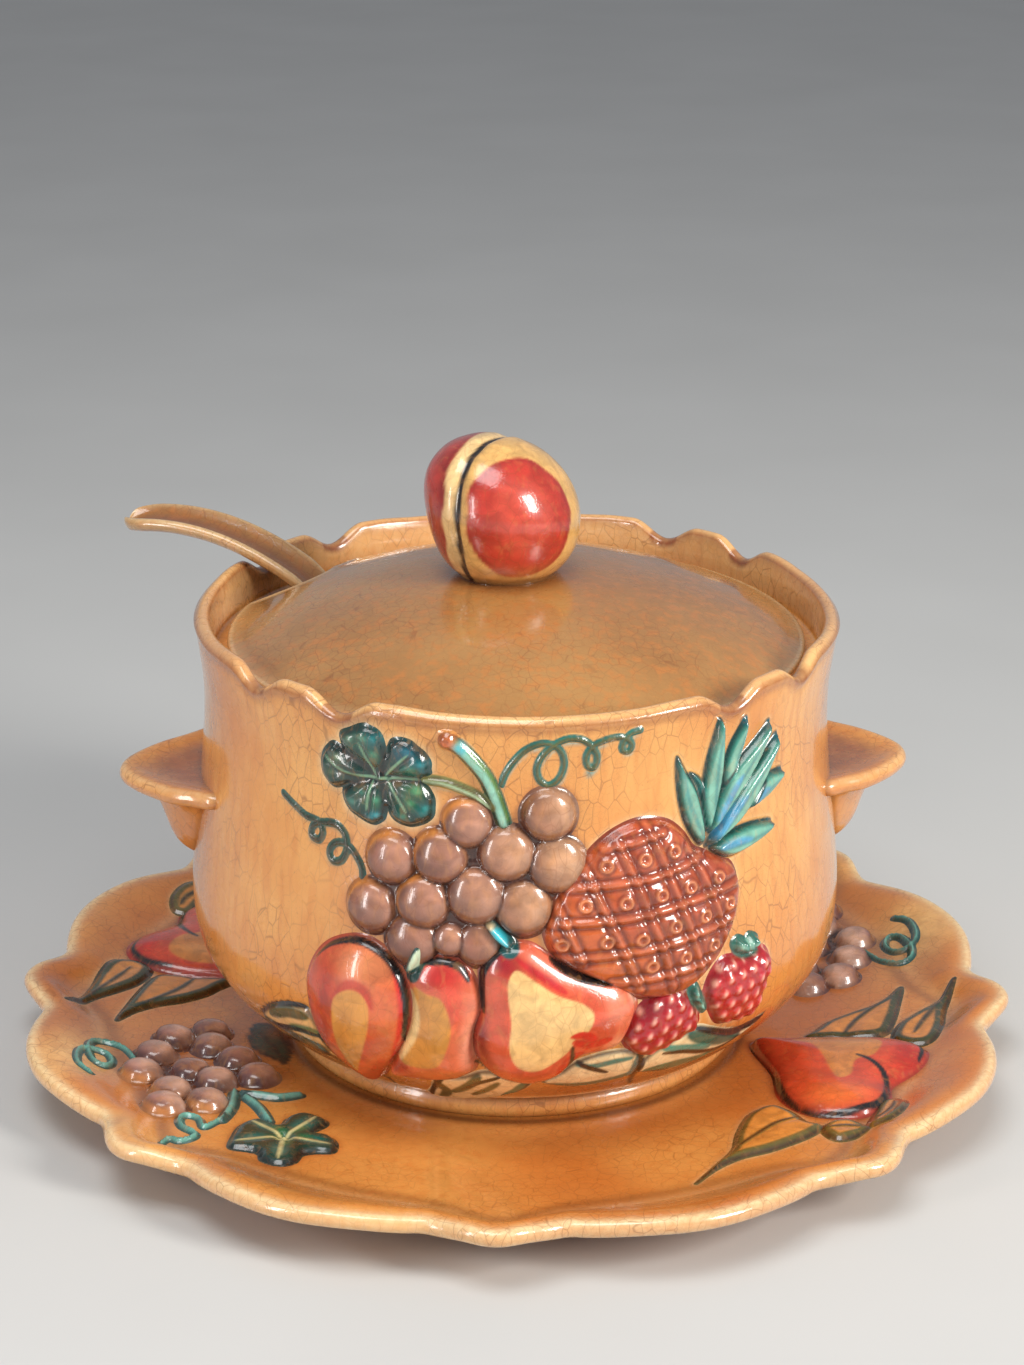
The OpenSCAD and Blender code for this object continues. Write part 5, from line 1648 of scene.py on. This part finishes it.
def build_cup():
    inner_r = CUP_R - CUP_T
    rows = [(CUP_R * math.sin(a), -CUP_R * math.cos(a)) for a in np.radians(np.linspace(2, 100.5, 44))]
    outer_edge = math.sqrt(CUP_R ** 2 - (CUP_OPEN - 1.2) ** 2)
    inner_edge = math.sqrt(inner_r ** 2 - (CUP_OPEN - 1.2) ** 2)
    lip_r, lip_half = (outer_edge + inner_edge) / 2, (outer_edge - inner_edge) / 2
    for a in np.radians(np.arange(10, 171, 20)):
        rows.append((lip_r + lip_half * math.cos(a), CUP_OPEN - 1.3 + 1.3 * math.sin(a)))
    rows += [(inner_r * math.sin(a), -inner_r * math.cos(a)) for a in np.radians(np.linspace(101.5, 2, 40))]
    angles = np.radians(np.arange(0, 360, 3))
    points, faces = turned_body(*grid_of(rows, len(angles)), angles)
    canvas = Canvas(points[:, :2].copy())
    canvas.pool = 0.3 * ease((-points[:, 2] - 20) / 8) * (np.linalg.norm(points, axis=1) < CUP_R - 2)
    thin_glaze_and_highlight = 0.85 * ease((points[:, 2] - CUP_OPEN + 1.8) / 1.2)
    points[:, :2] *= (1 + 0.008 * unevenness(points, 40, 31))[:, None]
    cup = new_piece("ladle_cup", placed_ladle(points + CUP_MIDDLE), faces, canvas, thin_glaze_and_highlight)
    finish_piece(cup, "ladle", "lid_glaze", "ladle_bowl")


# ---- Building every piece ----

# Each bunch's painted shade tone, its own tone, its painted highlight tone and its honey rim
WALL_GRAPE_TONES = ((78, 38, 32), (136, 84, 68), (190, 136, 112), (222, 138, 60))
PLATE_GRAPE_TONES = ((70, 38, 40), (148, 98, 86), (230, 188, 164), (210, 136, 70))
# Each relief: the node it stands for, its glaze, the part of the ground it lies in, its form, its paint
WALL_RELIEFS = [
    ("vine_leaf", "leaf_glaze", (-87, -34, 133, 176), leaf_height, paint_leaf),
    ("vine_stem", "teal_glaze", (-49, -7, 136, 175), stem_height, paint_stems),
    ("tendrils", "teal_glaze", (-106, 38, 111, 176), tendril_height, paint_tendrils),
    ("grape_bunch", "grape_glaze", (-73, 20, 84, 156), lambda sz: bunch_height(sz, GRAPES),
     lambda canvas, h: paint_bunch(canvas, h, GRAPES, (-0.8, 0.6), WALL_GRAPE_TONES, 1)),
    ("pineapple", "amber_glaze", (-1, 80, 70, 142), pineapple_height, paint_pineapple),
    ("pineapple_crown", "teal_glaze", (47, 108, 114, 175), crown_height, paint_crown),
    ("peach", "fruit_glaze", (-89, -42, 31, 98), fruit_height(PEACH_EDGE, 6.4, 15), paint_peach),
    ("apple", "fruit_glaze", (-60, -17, 37, 101), fruit_height(APPLE_EDGE, 5.4, 14, APPLE_STEM), paint_apple),
    ("pear", "fruit_glaze", (-26, 37, 39, 109), fruit_height(PEAR_EDGE, 7.0, 15, PEAR_STEM), paint_pear),
    ("strawberries", "berry_glaze", (26, 96, 47, 91), berries_height, paint_berries),
    ("foliage", "olive_glaze", (-121, 99, 18, 64), foliage_height, paint_foliage)]
PLATE_RELIEFS = [
    ("plate_grapes", "grape_glaze", (-149, -82, -102, -14), lambda xy: bunch_height(xy, PLATE_GRAPES),
     lambda canvas, h: paint_bunch(canvas, h, PLATE_GRAPES, (-0.4, -0.9), PLATE_GRAPE_TONES)),
    ("plate_vine", "leaf_glaze", (-165, -54, -134, -38), plate_vine_height, paint_plate_vine),
    ("plate_pear", "fruit_glaze", (87, 161, -91, -18), fruit_height(PLATE_PEAR_EDGE, 5.6, 15),
     paint_plate_pear),
    ("plate_leaves", "olive_glaze", (64, 178, -142, 27), plate_leaves_height, paint_plate_leaves)]

build_bowl()
build_lug("right_lug", 1, "right_handle")
build_lug("left_lug", -1, "left_handle")
for row in WALL_RELIEFS:
    relief(*row, "tureen", on_wall, wall_drift, WALL_STEP)
build_plate()
for row in PLATE_RELIEFS:
    relief(*row, "underplate", on_plate, plate_drift, PLATE_STEP)
build_lid()
build_knob()
build_shaft()
build_cup()


# ---- Floor, light and camera, in metres ----

FLOOR_HALF = 4
# Each light: its name, place, aim, size, power in watts and colour
LIGHTS = [
    ("window_right", (1.1, -0.95, 0.85), (0, 0, 0.1), (0.4, 0.7), 24, (1.0, 0.97, 0.92)),
    ("strip_left", (-0.66, -0.52, 0.27), (0, 0, 0.13), (0.1, 0.52), 2.2, (1.0, 0.96, 0.94)),
    ("overhead", (-0.3, -0.5, 1.6), (0, 0, 0.1), (1.0, 0.8), 13, (1, 1, 1))]
SKY_COLOUR, SKY_STRENGTH = (0.9, 0.93, 1.0, 1.0), 0.32
# Where the photograph was taken from: the camera's place, its pitch, yaw and roll, and its turn
# round the table, all found from the ellipses of the rim, the foot and the underplate
CAMERA_PLACE = (-0.0799, -1.0896, 0.5542)
PITCH, YAW, ROLL, TURN = 0.355359, -0.0013386, 0.0052287, -0.0731669
LENS, SENSOR = 81.65, 36


def plain_floor():
    m = Shader("pale_floor")
    where = m.add("TexCoord").outputs["Object"]
    tone = m.mix(m.noise(where, 6.0, 2.0), (0.55, 0.55, 0.535, 1.0), (0.61, 0.61, 0.595, 1.0))
    surface = m.add("BsdfPrincipled", {"Base Color": tone, "Roughness": 0.95, "Specular IOR Level": 0.1})
    m.tree.links.new(surface.outputs[0], m.add("OutputMaterial").inputs["Surface"])
    mesh = bpy.data.meshes.new("floor")
    far = FLOOR_HALF
    mesh.from_pydata([(-far, -far, 0), (far, -far, 0), (far, far, 0), (-far, far, 0)], [], [(0, 1, 2, 3)])
    mesh.materials.append(m.material)
    floor = bpy.data.objects.new("floor", mesh)
    bpy.context.scene.collection.objects.link(floor)


def area_light(name, place, aim, size, watts, colour):
    data = bpy.data.lights.new(name, "AREA")
    data.shape = "RECTANGLE"
    data.size, data.size_y = size
    data.energy = watts
    data.color = colour
    lamp = bpy.data.objects.new(name, data)
    lamp.location = place
    lamp.rotation_euler = (Vector(aim) - Vector(place)).to_track_quat("-Z", "Y").to_euler()
    bpy.context.scene.collection.objects.link(lamp)


def soft_world():
    world = bpy.data.worlds.new("soft_studio")
    world.use_nodes = True
    background = world.node_tree.nodes["Background"]
    background.inputs[0].default_value = SKY_COLOUR
    background.inputs[1].default_value = SKY_STRENGTH
    bpy.context.scene.world = world


def photo_camera():
    forward = Vector((math.sin(YAW) * math.cos(PITCH), math.cos(YAW) * math.cos(PITCH), -math.sin(PITCH)))
    right = Vector((math.cos(YAW), -math.sin(YAW), 0))
    up = right.cross(forward)
    cos, sin = math.cos(ROLL), math.sin(ROLL)
    right, up = cos * right + sin * up, -sin * right + cos * up
    facing = Matrix((right, up, -forward)).transposed().to_4x4()
    data = bpy.data.cameras.new("photo_camera")
    data.lens = LENS
    data.sensor_width = SENSOR
    data.clip_start = 0.05
    camera = bpy.data.objects.new("photo_camera", data)
    camera.matrix_world = Matrix.Translation(CAMERA_PLACE) @ Matrix.Rotation(TURN, 4, "Z") @ facing
    bpy.context.scene.collection.objects.link(camera)
    bpy.context.scene.camera = camera


plain_floor()
for light in LIGHTS:
    area_light(*light)
soft_world()
photo_camera()
bpy.context.scene.view_settings.view_transform = "Standard"
